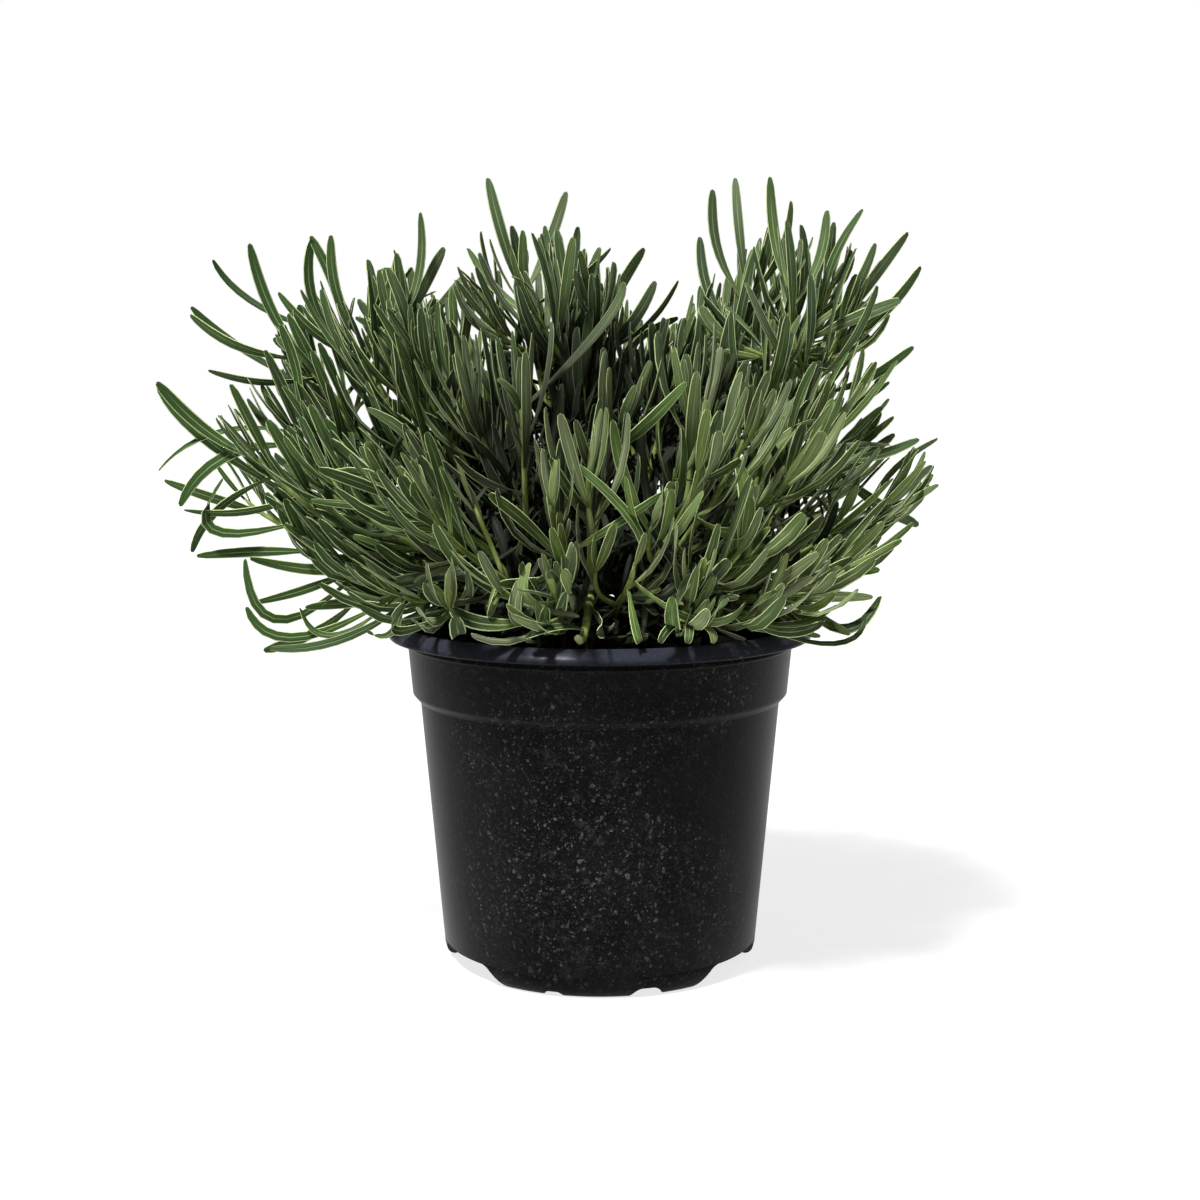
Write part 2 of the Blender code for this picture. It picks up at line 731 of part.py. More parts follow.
def place_outer_leaves(stems, obstacles):
    """Gives each outline tip a leaf from the best free place within reach."""
    missed = 0
    for place in OUTER_LEAVES:
        tip = Vector(place) * MM
        choices = []
        for stem in stems:
            for shoot in shoots_of(stem):
                for node, side, face in shoot.slots():
                    reach = tip - face[0]
                    if not LEAF_REACH[0] < reach.length < LEAF_REACH[1]:
                        continue
                    way = reach.normalized()
                    if way.dot(face[2]) < 0.05 or way.dot(face[3]) < -0.5:
                        continue
                    cost = abs(reach.length - LEAF_LENGTH) - OUTWARD_GAIN * way.dot(face[2])
                    choices.append((cost, len(choices), stem, shoot, node, side, face))
        choices.sort(key=lambda choice: choice[:2])
        for _, _, stem, shoot, node, side, face in choices[:OUTLINE_CHOICES]:
            bend = (face[2] * 3 - face[3]) * MM
            half = shoot.half(shoot.nodes[node])
            leaf = Leaf(face, half, tip, face[1], bend, LEAF_WIDTH)
            if leaf.is_clear(obstacles, stem):
                shoot.leaves[node, side] = leaf
                obstacles.add(*leaf.outline(True), owner=stem)
                break
        else:
            missed += 1
    print(f"{len(OUTER_LEAVES) - missed} of {len(OUTER_LEAVES)} outline leaves placed")


def place_leaves(stems, obstacles, rng):
    """Fills the free places of every leaf pair with leaves that follow one rule."""
    placed = dropped = 0
    for stem in stems:
        for shoot in shoots_of(stem):
            for node, side, face in list(shoot.slots()):
                leaf = leaf_at(stem, shoot, node, face, obstacles, rng)
                if leaf is None:
                    dropped += 1
                    continue
                placed += 1
                shoot.leaves[node, side] = leaf
                obstacles.add(*leaf.outline(True), owner=stem)
    print(f"{placed} leaves placed, {dropped} dropped")


def leaf_at(stem, shoot, node, face, obstacles, rng):
    """A leaf of a pair that is clear of everything, or None."""
    centre, lateral, outward, along = face
    half = shoot.half(shoot.nodes[node])
    from_tip = len(shoot.nodes) - 1 - node
    for attempt in range(LEAF_TRIES):
        opening = math.radians(OPENING + OPENING_STEP * from_tip + rng.uniform(-6, 10) + attempt * 2)
        swing = rng.uniform(-0.3, 0.3)
        length = LEAF_LENGTH * rng.uniform(0.72, 1.08) * (1 - 0.04 * attempt)
        way = outward * math.sin(opening) + along * math.cos(opening) + lateral * swing
        way.normalize()
        bend = outward * rng.uniform(0, 7) * MM
        across = (lateral + way.cross(lateral) * rng.uniform(-0.5, 0.5)).normalized()
        width = LEAF_WIDTH * rng.uniform(0.85, 1.05)
        leaf = Leaf(face, half, centre + way * length, across, bend, width)
        if leaf.is_clear(obstacles, stem):
            return leaf
    return None


def build_stem(name, stem, material):
    """The stem with its side shoot and leaves as one closed body with a flat foot."""
    body = Body()
    first = stem.add_ring(body, 0)
    flat = SOIL_TOP + GAP
    for index in first:
        body.points[index].z = flat
    body.faces.append([first[3], first[2], first[1], first[0]])
    stem.grow(body, first, 0)
    mesh = bpy.data.meshes.new(name)
    mesh.from_pydata(body.points, [], body.closed_faces())
    return add_object(name, mesh, material)


def obstacle_from(obj):
    """An object's finished points and faces."""
    graph = bpy.context.evaluated_depsgraph_get()
    mesh = obj.evaluated_get(graph).to_mesh()
    points = [vert.co.copy() for vert in mesh.vertices]
    faces = [list(face.vertices) for face in mesh.polygons]
    obj.evaluated_get(graph).to_mesh_clear()
    return points, faces


def main():
    """Builds the pot, the soil and the stems."""
    clear_scene()
    rng = random.Random(SEED)
    pot = build_pot()
    soil = build_soil()
    bpy.context.view_layer.update()
    obstacles = Obstacles()
    obstacles.add(*obstacle_from(pot))
    obstacles.add(*obstacle_from(soil))
    stems = place_stems(obstacles, rng)
    place_outer_leaves(stems, obstacles)
    place_leaves(stems, obstacles, rng)
    for number, stem in enumerate(stems, 1):
        green = plain_material(f"lavender_{number:02d}", (0.075, 0.12, 0.05), 0.7)
        build_stem(f"stem_{number:02d}", stem, green)


main()
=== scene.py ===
"""Lavender without flowers in a round black nursery pot: the full plant, pot and soil around its CAD frame.

Lengths are in metres, +Z is up, and the front of the plant faces -Y.
"""

import logging
import math
import random
from collections.abc import Callable, Iterable, Iterator, Sequence
from dataclasses import dataclass, field
from enum import IntEnum
from functools import partial, reduce

import bpy
import numpy as np
from mathutils import Euler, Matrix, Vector
from mathutils.bvhtree import BVHTree


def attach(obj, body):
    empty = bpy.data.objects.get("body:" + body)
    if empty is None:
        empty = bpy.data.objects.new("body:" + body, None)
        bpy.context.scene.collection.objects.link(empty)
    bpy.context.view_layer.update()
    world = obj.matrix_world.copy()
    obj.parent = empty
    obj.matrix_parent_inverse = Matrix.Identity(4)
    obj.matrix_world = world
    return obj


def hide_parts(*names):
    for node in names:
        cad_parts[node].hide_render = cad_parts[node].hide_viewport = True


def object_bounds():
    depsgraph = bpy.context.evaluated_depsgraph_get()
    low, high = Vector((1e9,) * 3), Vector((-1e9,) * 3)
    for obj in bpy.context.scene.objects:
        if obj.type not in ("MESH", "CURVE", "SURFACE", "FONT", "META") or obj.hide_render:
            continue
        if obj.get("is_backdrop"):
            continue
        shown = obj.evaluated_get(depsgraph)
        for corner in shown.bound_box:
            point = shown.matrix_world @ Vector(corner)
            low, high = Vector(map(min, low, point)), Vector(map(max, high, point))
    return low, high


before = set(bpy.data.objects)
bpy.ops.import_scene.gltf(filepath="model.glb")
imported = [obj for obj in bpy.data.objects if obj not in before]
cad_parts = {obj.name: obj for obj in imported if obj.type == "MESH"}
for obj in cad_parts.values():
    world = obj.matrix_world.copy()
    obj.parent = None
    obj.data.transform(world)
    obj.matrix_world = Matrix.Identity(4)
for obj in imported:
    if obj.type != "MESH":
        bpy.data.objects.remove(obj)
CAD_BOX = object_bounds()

LOG = logging.getLogger("lavender")
MM = 0.001
BODY = "root"
Colour = tuple[float, float, float]
Object = bpy.types.Object
Material = bpy.types.Material
Socket = bpy.types.NodeSocket
Number = float | Socket
Face = tuple[Vector, Vector, Vector, Vector]  # a place on a stem, then its lateral, outward and along ways
Rng = random.Random

# Tips of each stem in millimetres, the stem's own first and then its side shoot's, as in the CAD
STEMS = (
    ((-35, 10, 303), (-50, 25, 283)), ((-10, 20, 297), (5, 35, 280)), ((-80, 40, 277), (-60, 75, 262)),
    ((-90, 0, 290), (-105, -10, 275)), ((-135, 15, 276), (-143, 55, 262)),
    ((-135, -15, 241), (-150, -30, 230)), ((-165, 25, 207), (-130, -40, 193)), ((-114, -45, 220),),
    ((-108, -22, 170),), ((-70, -72, 208), (-88, -55, 217)), ((-56, -20, 252), (-34, -42, 250)),
    ((-20, -78, 212), (-18, -86, 175)), ((-5, -80, 225), (8, -55, 242)), ((40, -86, 226), (37, -58, 252)),
    ((60, -68, 240), (80, -58, 222)), ((58, -82, 197), (38, -88, 178)), ((36, 12, 272), (52, 35, 277)),
    ((66, 8, 306), (60, 42, 280)), ((107, -5, 286), (98, 28, 282)), ((108, -25, 250), (120, 20, 233)),
    ((130, -10, 212), (130, 28, 187)), ((102, -45, 182), (84, -68, 176)), ((14, -88, 188),),
    ((-44, -82, 180),), ((-20, 90, 275), (10, 105, 250)), ((40, 85, 280), (70, 98, 245)),
    ((-68, 103, 238), (-98, 88, 214)), ((92, 72, 250), (115, 82, 205)), ((0, 58, 296),),
    ((-30, 125, 206), (20, 132, 196)), ((62, 122, 202), (98, 106, 178)),
    ((-108, 62, 190), (-78, 108, 172)),
)  # fmt: skip

# Tips of the leaves that give the plant its outline, in millimetres
OUTER_LEAVES = (
    (-185, 15, 290), (-190, -30, 260), (-200, 20, 215), (-180, -30, 205), (-175, -30, 185),
    (-170, -20, 265), (-150, -40, 185), (-145, -40, 145), (-150, -35, 165), (-125, -50, 165),
    (-130, 15, 325), (-120, 10, 325), (-145, 15, 300), (-140, -10, 285), (-180, 50, 315),
    (-165, 60, 325), (-105, 20, 315), (-90, 0, 315), (-80, 10, 335), (-70, 15, 320),
    (-60, 20, 320), (-50, 10, 350), (-40, 20, 330), (-25, 20, 330), (-15, 20, 345),
    (-10, 25, 330), (0, 15, 320), (5, 20, 320), (20, 20, 320), (25, 15, 305),
    (35, 10, 305), (45, 20, 325), (50, 10, 345), (60, 10, 350), (75, 5, 350),
    (85, 10, 340), (90, 15, 330), (100, 0, 335), (115, -5, 335), (120, -10, 320),
    (135, -5, 325), (140, -10, 310), (130, -20, 295), (135, -25, 275), (125, -25, 260),
    (140, -15, 235), (150, -5, 235), (140, -10, 210), (145, -5, 210), (145, 10, 195),
    (120, -40, 180), (115, -55, 170), (105, -60, 155), (-70, -80, 240), (-75, -85, 220),
    (-60, -70, 230), (-45, -80, 215), (-40, -95, 180), (-20, -90, 230), (-10, -85, 245),
    (5, -85, 245), (55, -100, 230), (55, -100, 175), (35, -80, 260),
)  # fmt: skip

# How high the leaves reach across the plant: (distance to the right, height) in millimetres
CROWN_OUTLINE = (
    (-205, 205), (-190, 222), (-174, 236), (-160, 254), (-150, 284), (-136, 300), (-126, 316), (-112, 298),
    (-98, 312), (-88, 328), (-74, 296), (-62, 316), (-50, 345), (-15, 340), (8, 312), (18, 290), (42, 290),
    (54, 335), (68, 320), (84, 340), (100, 338), (116, 322), (127, 292),
    (135, 240), (148, 226), (160, 200),
)  # fmt: skip

# How low the leaves hang across the plant: (distance to the right, height) in millimetres
SKIRT_OUTLINE = (
    (-205, 222), (-170, 214), (-150, 210), (-134, 200), (-118, 178), (-100, 158), (-92, 150),
    (88, 152), (96, 160), (106, 174), (118, 180), (135, 194), (150, 220),
)  # fmt: skip

# Hollows in the front that few leaves fill: middle and half size to the right and up, in millimetres
HOLLOWS = ((-40, 200, 19, 40), (6, 192, 17, 30), (26, 236, 12, 16), (-12, 246, 10, 16))

# Tips of shoots that fill the top, in millimetres
TOP_TIPS = (
    (84, -8, 303), (104, 4, 306), (110, 6, 288), (72, 22, 304), (88, 28, 292), (112, -8, 274),
    (-66, 12, 280), (-104, 16, 286), (-92, 30, 284), (-28, -4, 292), (-48, 2, 286), (-4, 6, 292),
    (50, -6, 284), (-76, -14, 270), (40, 40, 266), (-122, 20, 282), (-140, 10, 274),
)  # fmt: skip

# Leaves with a bend of their own: (start, middle, tip) in millimetres, width in millimetres, age from 0 to 1
BENT_LEAVES = (
    ((34, -82, 202), (57, -84, 201), (55, -80, 230), 7.5, 0.2),
    ((22, -84, 173), (41, -88, 164), (59, -86, 172), 4.2, 0.3),
    ((24, -84, 186), (14, -88, 203), (-12, -86, 229), 4.0, 0.6),
    ((-14, -78, 184), (5, -84, 202), (26, -82, 216), 3.4, 0.5),
    ((-36, -80, 158), (-47, -88, 163), (-60, -88, 169), 6.8, 0.45),
    ((-46, -82, 160), (-45, -86, 168), (-41, -84, 181), 6.0, 0.3),
    ((-36, -80, 157), (-34, -87, 166), (-32, -86, 181), 6.0, 0.35),
    ((-74, -56, 176), (-108, -62, 153), (-139, -60, 149), 4.2, 0.8),
    ((-96, -50, 160), (-112, -58, 154), (-126, -58, 166), 3.0, 0.6),
    ((-100, -48, 170), (-136, -52, 160), (-150, -50, 186), 4.4, 0.5),
    ((-97, -52, 162), (-128, -56, 153), (-149, -55, 166), 4.4, 0.4),
    ((-78, -60, 168), (-86, -72, 157), (-96, -72, 158), 4.0, 0.7),
    ((-70, -62, 160), (-84, -72, 158), (-80, -76, 170), 4.4, 0.7),
    ((66, -58, 156), (96, -62, 151), (112, -56, 161), 2.6, 0.7),
    ((84, -48, 158), (104, -54, 156), (119, -50, 170), 6.0, 0.3),
    ((60, -66, 162), (76, -76, 158), (92, -74, 162), 4.6, 0.6),
    ((-128, -18, 212), (-172, -22, 236), (-192, -20, 260), 5.8, 0.4),
    ((-135, -18, 228), (-162, -24, 228), (-183, -24, 206), 5.6, 0.5),
    ((-140, -20, 232), (-166, -22, 238), (-193, -20, 221), 4.2, 0.5),
    ((-126, -26, 198), (-166, -32, 196), (-162, -32, 219), 5.0, 0.4),
    ((-150, -24, 212), (-166, -26, 205), (-178, -25, 186), 4.0, 0.5),
    ((-24, -30, 262), (0, -34, 282), (10, -34, 302), 4.6, 0.8),
    ((-128, 26, 262), (-166, 28, 276), (-187, 26, 294), 4.0, 0.9),
    ((-134, 36, 276), (-160, 38, 296), (-179, 38, 316), 3.2, 0.9),
    ((-4, -76, 160), (-16, -90, 162), (-30, -92, 158), 5.2, 0.6),
    ((-20, -78, 176), (-30, -88, 174), (-28, -88, 188), 5.0, 0.35),
    ((6, -80, 168), (14, -90, 162), (16, -92, 156), 4.0, 0.5),
    ((34, -78, 160), (28, -91, 162), (24, -94, 156), 3.6, 0.4),
    ((36, -78, 160), (36, -91, 161), (35, -95, 156), 3.8, 0.5),
    ((40, -76, 160), (44, -90, 161), (45, -94, 156), 3.6, 0.4),
    ((-128, 20, 274), (-149, 20, 292), (-158, 18, 322), 5.4, 0.4),
    ((-118, 16, 276), (-130, 16, 298), (-129, 14, 324), 4.8, 0.4),
)

# Tips of short shoots near the rim, in millimetres
RIM_TIPS = (
    (-62, -80, 170), (-28, -84, 164), (38, -84, 166), (66, -74, 168), (88, -52, 170),
    (-86, -58, 172), (-104, -38, 182), (-120, -44, 188), (100, -24, 176), (-100, 12, 176), (104, 16, 178),
    (92, 54, 176), (-88, 58, 176), (58, 88, 176), (14, 102, 178), (-34, 98, 176), (-70, 82, 178),
)  # fmt: skip

# Where a stem was cut off short, leaning out over the front of the rim, in millimetres
CUT_TIP = (-9, -93, 158)


# ------------ small helpers


def tool(obj: Object) -> None:
    """Makes an object the only selected and active one."""
    bpy.ops.object.select_all(action="DESELECT")
    obj.select_set(True)
    bpy.context.view_layer.objects.active = obj


def primitive(add: Callable[..., object], **sizes: object) -> Object:
    """Adds a primitive with nothing else selected.

    Args:
        add: The operator that adds it.
        **sizes: What the operator takes.

    Returns:
        The new object.
    """
    bpy.ops.object.select_all(action="DESELECT")
    add(**sizes)
    return bpy.context.object


def mesh_object(name: str, points: np.ndarray, faces: list[list[int]], materials: list[Material]) -> Object:
    """Makes a smooth object from points and faces.

    Args:
        name: The mesh's name.
        points: One row for each point.
        faces: Each face's point numbers.
        materials: Its materials, slot by slot.

    Returns:
        The new object.
    """
    mesh = bpy.data.meshes.new(name)
    mesh.from_pydata(points.tolist(), [], faces)
    for material in materials:
        mesh.materials.append(material)
    mesh.shade_smooth()
    obj = bpy.data.objects.new(name, mesh)
    bpy.context.scene.collection.objects.link(obj)
    return obj


def upward(height: float) -> Vector:
    """A vector straight up."""
    return Vector((0, 0, height))


def finish_piece(obj: Object, name: str, stands_for: Iterable[str] = ()) -> None:
    """Names a piece, puts its place into its mesh, and fixes it to the pot's body.

    Args:
        obj: The finished piece.
        name: The piece's name.
        stands_for: The CAD nodes that it replaces.
    """
    tool(obj)
    bpy.ops.object.transform_apply(location=True, rotation=True, scale=True)
    obj.name = name
    obj.data.name = name
    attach(obj, BODY)
    for node in stands_for:
        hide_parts(node)
    LOG.info("%s: %d faces", name, len(obj.data.polygons))


# ------------ finishes


class Nodes:
    """A material's node tree with short ways to add and link nodes."""

    def __init__(self, name: str) -> None:
        """Starts an empty material with a Principled shader."""
        self.material = bpy.data.materials.new(name)
        self.material.use_nodes = True
        self.tree = self.material.node_tree
        self.shader = self.tree.nodes["Principled BSDF"]

    def add(self, kind: str, **values: object) -> bpy.types.Node:
        """Adds a node and sets its properties, or its inputs where a name starts with "in_".

        Args:
            kind: The node's type, such as "TexNoise".
            **values: Property values, and input values as in_Name.

        Returns:
            The new node.
        """
        node = self.tree.nodes.new("ShaderNode" + kind)
        for key, value in values.items():
            if key.startswith("in_"):
                node.inputs[key[3:].replace("_", " ")].default_value = value
            else:
                setattr(node, key, value)
        return node

    def link(self, start: Socket, end: Socket) -> None:
        """Links an output to an input."""
        self.tree.links.new(start, end)

    def attribute(self, name: str) -> Socket:
        """The value of a mesh attribute."""
        return self.add("Attribute", attribute_name=name).outputs["Fac"]

    def place(self) -> Socket:
        """The place in Object coordinates."""
        return self.add("TexCoord").outputs["Object"]

    def noise(
        self, scale: float, detail: float = 3, stretch: Sequence[float] = (1, 1, 1), rough: float = 0.5
    ) -> Socket:
        """A noise value on Object coordinates, stretched where asked.

        Args:
            scale: Its grains per metre.
            detail: How many finer layers it has.
            stretch: Scales along X, Y and Z.
            rough: How strong the finer layers are.

        Returns:
            The value, from 0 to 1.
        """
        mapping = self.add("Mapping", in_Scale=stretch)
        self.link(self.place(), mapping.inputs["Vector"])
        node = self.add("TexNoise", in_Scale=scale, in_Detail=detail, in_Roughness=rough)
        self.link(mapping.outputs["Vector"], node.inputs["Vector"])
        return node.outputs["Fac"]

    def streaks(self, across: float, along: float) -> Socket:
        """A noise value in a leaf's own directions, different on every leaf.

        Args:
            across: Grains across the leaf.
            along: Grains along it.

        Returns:
            The value, from 0 to 1.
        """
        place = self.add("CombineXYZ")
        for socket, (name, scale) in zip(place.inputs, (("across", across), ("along", along), ("tint", 90))):
            self.link(self.maths("MULTIPLY", self.attribute(name), scale), socket)
        node = self.add("TexNoise", in_Scale=1.0, in_Detail=3.0)
        self.link(place.outputs["Vector"], node.inputs["Vector"])
        return node.outputs["Fac"]

    def maths(self, operation: str, first: Number, second: Number = 0.0) -> Socket:
        """A Math node on numbers or sockets.

        Args:
            operation: The node's operation.
            first: Its first input.
            second: Its second input.

        Returns:
            The result.
        """
        node = self.add("Math", operation=operation)
        for socket, value in zip(node.inputs, (first, second)):
            if isinstance(value, Socket):
                self.link(value, socket)
            else:
                socket.default_value = value
        return node.outputs["Value"]

    def product(self, *values: Number) -> Socket:
        """The product of numbers or sockets."""
        return reduce(partial(self.maths, "MULTIPLY"), values)

    def largest(self, *values: Number) -> Socket:
        """The largest of numbers or sockets."""
        return reduce(partial(self.maths, "MAXIMUM"), values)

    def lot(self, tint: Socket, factor: float) -> Socket:
        """A further value from 0 to 1 drawn from a leaf's tint."""
        return self.maths("FRACT", self.product(tint, factor))

    def band(self, value: Socket, low: float, high: float) -> Socket:
        """0 below low and 1 above high, smooth between them; low above high turns it round.

        Args:
            value: What is measured.
            low: Where the result is 0.
            high: Where it is 1.

        Returns:
            The result.
        """
        node = self.add("MapRange", interpolation_type="SMOOTHSTEP")
        node.inputs["From Min"].default_value = low
        node.inputs["From Max"].default_value = high
        self.link(value, node.inputs["Value"])
        return node.outputs["Result"]

    def mix(self, share: Number, first: Colour | Socket, second: Colour | Socket) -> Socket:
        """A blend of two colours.

        Args:
            share: How far the second colour shows, from 0 to 1.
            first: The first colour.
            second: The second colour.

        Returns:
            The blended colour.
        """
        node = self.add("Mix", data_type="RGBA")
        for index, value in ((0, share), (6, first), (7, second)):
            if isinstance(value, Socket):
                self.link(value, node.inputs[index])
            elif index:
                node.inputs[index].default_value = (*value, 1)
            else:
                node.inputs[index].default_value = value
        return node.outputs[2]

    def paint(self, colour: Socket) -> None:
        """Links the surface's colour."""
        self.link(colour, self.shader.inputs["Base Color"])

    def roughen(self, value: Socket, gain: float, least: float) -> None:
        """Sets the roughness to a least value plus a share of another value."""
        rough = self.maths("MULTIPLY_ADD", value, gain)
        rough.node.inputs[2].default_value = least
        self.link(rough, self.shader.inputs["Roughness"])

    def settle(self, values: dict[str, object]) -> None:
        """Sets the shader's own sockets."""
        for name, value in values.items():
            self.shader.inputs[name].default_value = value

    def bump(self, height: Socket, strength: float, distance: float) -> None:
        """Roughens the surface by a height value."""
        node = self.add("Bump", in_Strength=strength, in_Distance=distance)
        self.link(height, node.inputs["Height"])
        self.link(node.outputs["Normal"], self.shader.inputs["Normal"])


@dataclass(frozen=True)
class LeafFinish:
    """A downy leaf surface with its midrib, rolled edges and the change from young to dead, with painted
    shade near the plant's middle and in the crease inside the rolled edges.

    Attributes:
        name: The material's name.
        young: Colour at the shoot's tip.
        fresh: Colour of a grown leaf.
        old: Colour of the lowest leaves.
        grey: Colour of the leaves that are greyer than the others.
        down: Colour of the felt of hairs on edges and veins.
        greyed: The tint from which a leaf turns grey.
        rib: How far the midrib shows, from 0 to 1.
        edge: How far the rolled edge shows, from 0 to 1.
        edge_start: Where the rolled edge starts, from 0 at the midrib to 1 at the margin.
        crease_shade: How far the painted shade darkens the line just inside the rolled edge, from 0 to 1.
        sunken: Colour of that line of painted shade.
        dead: Colour of a withered leaf.
        cool: Colour that the highest leaves lean to.
        side_green: Darker, deeper green that the leaves at the plant's left and right lean to.
        shaded: Near-black green of the painted shade that the leaves near the plant's middle lean to.
        middle: Height of that middle.
    """

    name: str
    young: Colour
    fresh: Colour
    old: Colour
    grey: Colour
    down: Colour
    greyed: float
    rib: float
    edge: float
    edge_start: float
    crease_shade: float
    sunken: Colour = (0.01, 0.017, 0.008)
    dead: Colour = (0.022, 0.017, 0.011)
    cool: Colour = (0.05, 0.09, 0.044)
    side_green: Colour = (0.022, 0.062, 0.009)
    shaded: Colour = (0.005, 0.008, 0.003)
    middle: float = 165 * MM

    def build(self) -> Material:
        """Makes the material."""
        nodes = Nodes(self.name)
        across = nodes.maths("ABSOLUTE", nodes.attribute("across"))
        streaks = nodes.streaks(2.6, 5)
        inside = self.inside(nodes)
        shade = self.by_place(nodes, self.blade(nodes, streaks))
        # Painted shade: leaves near the plant's middle lean to a near-black green
        nodes.paint(self.lined(nodes, nodes.mix(inside, shade, self.shaded), across, inside))
        down = nodes.noise(1700, 2)
        nodes.roughen(down, 0.2, 0.5)
        nodes.settle({"Sheen Weight": 0.05, "Sheen Roughness": 0.5, "Specular IOR Level": 0.22})
        height = nodes.maths("SUBTRACT", down, nodes.product(nodes.band(across, 0.2, 0.0), 1.5))
        nodes.bump(nodes.maths("ADD", height, streaks), 0.4, 0.3 * MM)
        return nodes.material

    def blade(self, nodes: Nodes, streaks: Socket) -> Socket:
        """The blade's colour by age and by the leaf's own tint, paler at the foot of a young leaf.

        Args:
            nodes: The material's nodes.
            streaks: The noise along the leaf.

        Returns:
            The colour.
        """
        tint = nodes.attribute("tint")
        blade = nodes.mix(nodes.band(tint, self.greyed, self.greyed + 0.12), self.ageing(nodes), self.grey)
        streaked = nodes.product(nodes.band(streaks, 0.42, 0.68), 0.5)
        deep = nodes.largest(nodes.product(nodes.lot(tint, 9.7), 0.92), streaked)
        shade = nodes.mix(deep, blade, self.old)
        felted = nodes.band(nodes.lot(tint, 5.3), 0.6, 1.0)
        felt = nodes.product(nodes.band(streaks, 0.5, 0.25), 0.1)
        shade = nodes.mix(nodes.maths("ADD", felt, nodes.product(felted, 0.22)), shade, self.down)
        foot = nodes.product(nodes.band(nodes.attribute("along"), 0.5, 0.0), 0.45)
        return nodes.mix(nodes.product(foot, nodes.band(nodes.attribute("age"), 0.9, 0.4)), shade, self.young)

    def by_place(self, nodes: Nodes, shade: Socket) -> Socket:
        """Turns a colour cooler high up and a deeper green at the plant's left and right.

        Args:
            nodes: The material's nodes.
            shade: The colour.

        Returns:
            The changed colour.
        """
        spot = nodes.add("SeparateXYZ")
        nodes.link(nodes.place(), spot.inputs["Vector"])
        high = nodes.band(spot.outputs["Z"], 210 * MM, 300 * MM)
        shade = nodes.mix(nodes.product(high, 0.5), shade, self.cool)
        left = nodes.product(nodes.band(spot.outputs["X"], -50 * MM, -130 * MM), 0.85)
        right = nodes.product(nodes.band(spot.outputs["X"], 90 * MM, 145 * MM), 0.5)
        return nodes.mix(nodes.largest(left, right), shade, self.side_green)

    def inside(self, nodes: Nodes) -> Socket:
        """How much painted shade a place gets for lying inside the plant, where little light comes, from 0 to
        1.
        """
        centre = nodes.add("Mapping", in_Location=(0, 0, -self.middle), in_Scale=(1, 1, 0.8))
        nodes.link(nodes.place(), centre.inputs["Vector"])
        reach = nodes.add("VectorMath", operation="LENGTH")
        nodes.link(centre.outputs["Vector"], reach.inputs[0])
        return nodes.product(nodes.band(reach.outputs["Value"], 84 * MM, 57 * MM), 0.85)

    def lined(self, nodes: Nodes, shade: Socket, across: Socket, inside: Socket) -> Socket:
        """A blade's colour with its pale midrib, its pale rolled edge and the dark line of painted shade
        inside that.

        Args:
            nodes: The material's nodes.
            shade: The blade's colour.
            across: How far from the midrib a place is, from 0 to 1.
            inside: How far inside the plant it is, which is how much painted shade it gets; the pale lines
                fade there.

        Returns:
            The colour.
        """
        along = nodes.attribute("along")
        rib = nodes.product(nodes.band(across, 0.12, 0.03), nodes.band(along, 1.0, 0.6))
        # Painted shade: a dark line in the crease just inside the rolled edge
        crease_shade = nodes.band(across, self.edge_start - 0.2, self.edge_start - 0.04)
        shade = nodes.mix(nodes.product(crease_shade, self.crease_shade), shade, self.sunken)
        edge = nodes.band(across, self.edge_start, self.edge_start + 0.07)
        pale = nodes.largest(nodes.product(rib, self.rib), nodes.product(edge, self.edge))
        living = nodes.product(nodes.band(nodes.attribute("age"), 1.0, 0.55), 0.75)
        # The pale lines fade in the painted shade too
        lit = nodes.maths("SUBTRACT", 1.0, inside)
        return nodes.mix(nodes.product(pale, nodes.maths("ADD", living, 0.25), lit), shade, self.down)

    def ageing(self, nodes: Nodes) -> Socket:
        """The blade's colour from young through fresh and old to dead."""
        age = nodes.attribute("age")
        grown = nodes.mix(nodes.band(age, 0.05, 0.4), self.young, self.fresh)
        grown = nodes.mix(nodes.band(age, 0.4, 0.9), grown, self.old)
        return nodes.mix(nodes.band(age, 1.05, 1.25), grown, self.dead)


@dataclass(frozen=True)
class StemFinish:
    """A square stem's skin, green above and brown and flaking where it has turned to wood.

    Attributes:
        name: The material's name.
        green: Colour of the young part.
        pale: Colour of its pale streaks.
        wood: Colour of the old part.
        bark: Colour of its flakes.
    """

    name: str
    green: Colour
    pale: Colour
    wood: Colour
    bark: Colour

    def build(self) -> Material:
        """Makes the material."""
        nodes = Nodes(self.name)
        age = nodes.attribute("age")
        streak = nodes.noise(260, 4, (1, 1, 0.18))
        skin = nodes.mix(nodes.band(streak, 0.35, 0.7), self.green, self.pale)
        wood = nodes.mix(nodes.band(streak, 0.4, 0.62), self.bark, self.wood)
        edge = nodes.maths("ADD", age, nodes.product(nodes.noise(90, 2), 0.3))
        nodes.paint(nodes.mix(nodes.band(edge, 0.72, 0.98), skin, wood))
        nodes.settle({"Roughness": 0.7, "Specular IOR Level": 0.3})
        nodes.bump(streak, 0.6, 0.6 * MM)
        return nodes.material


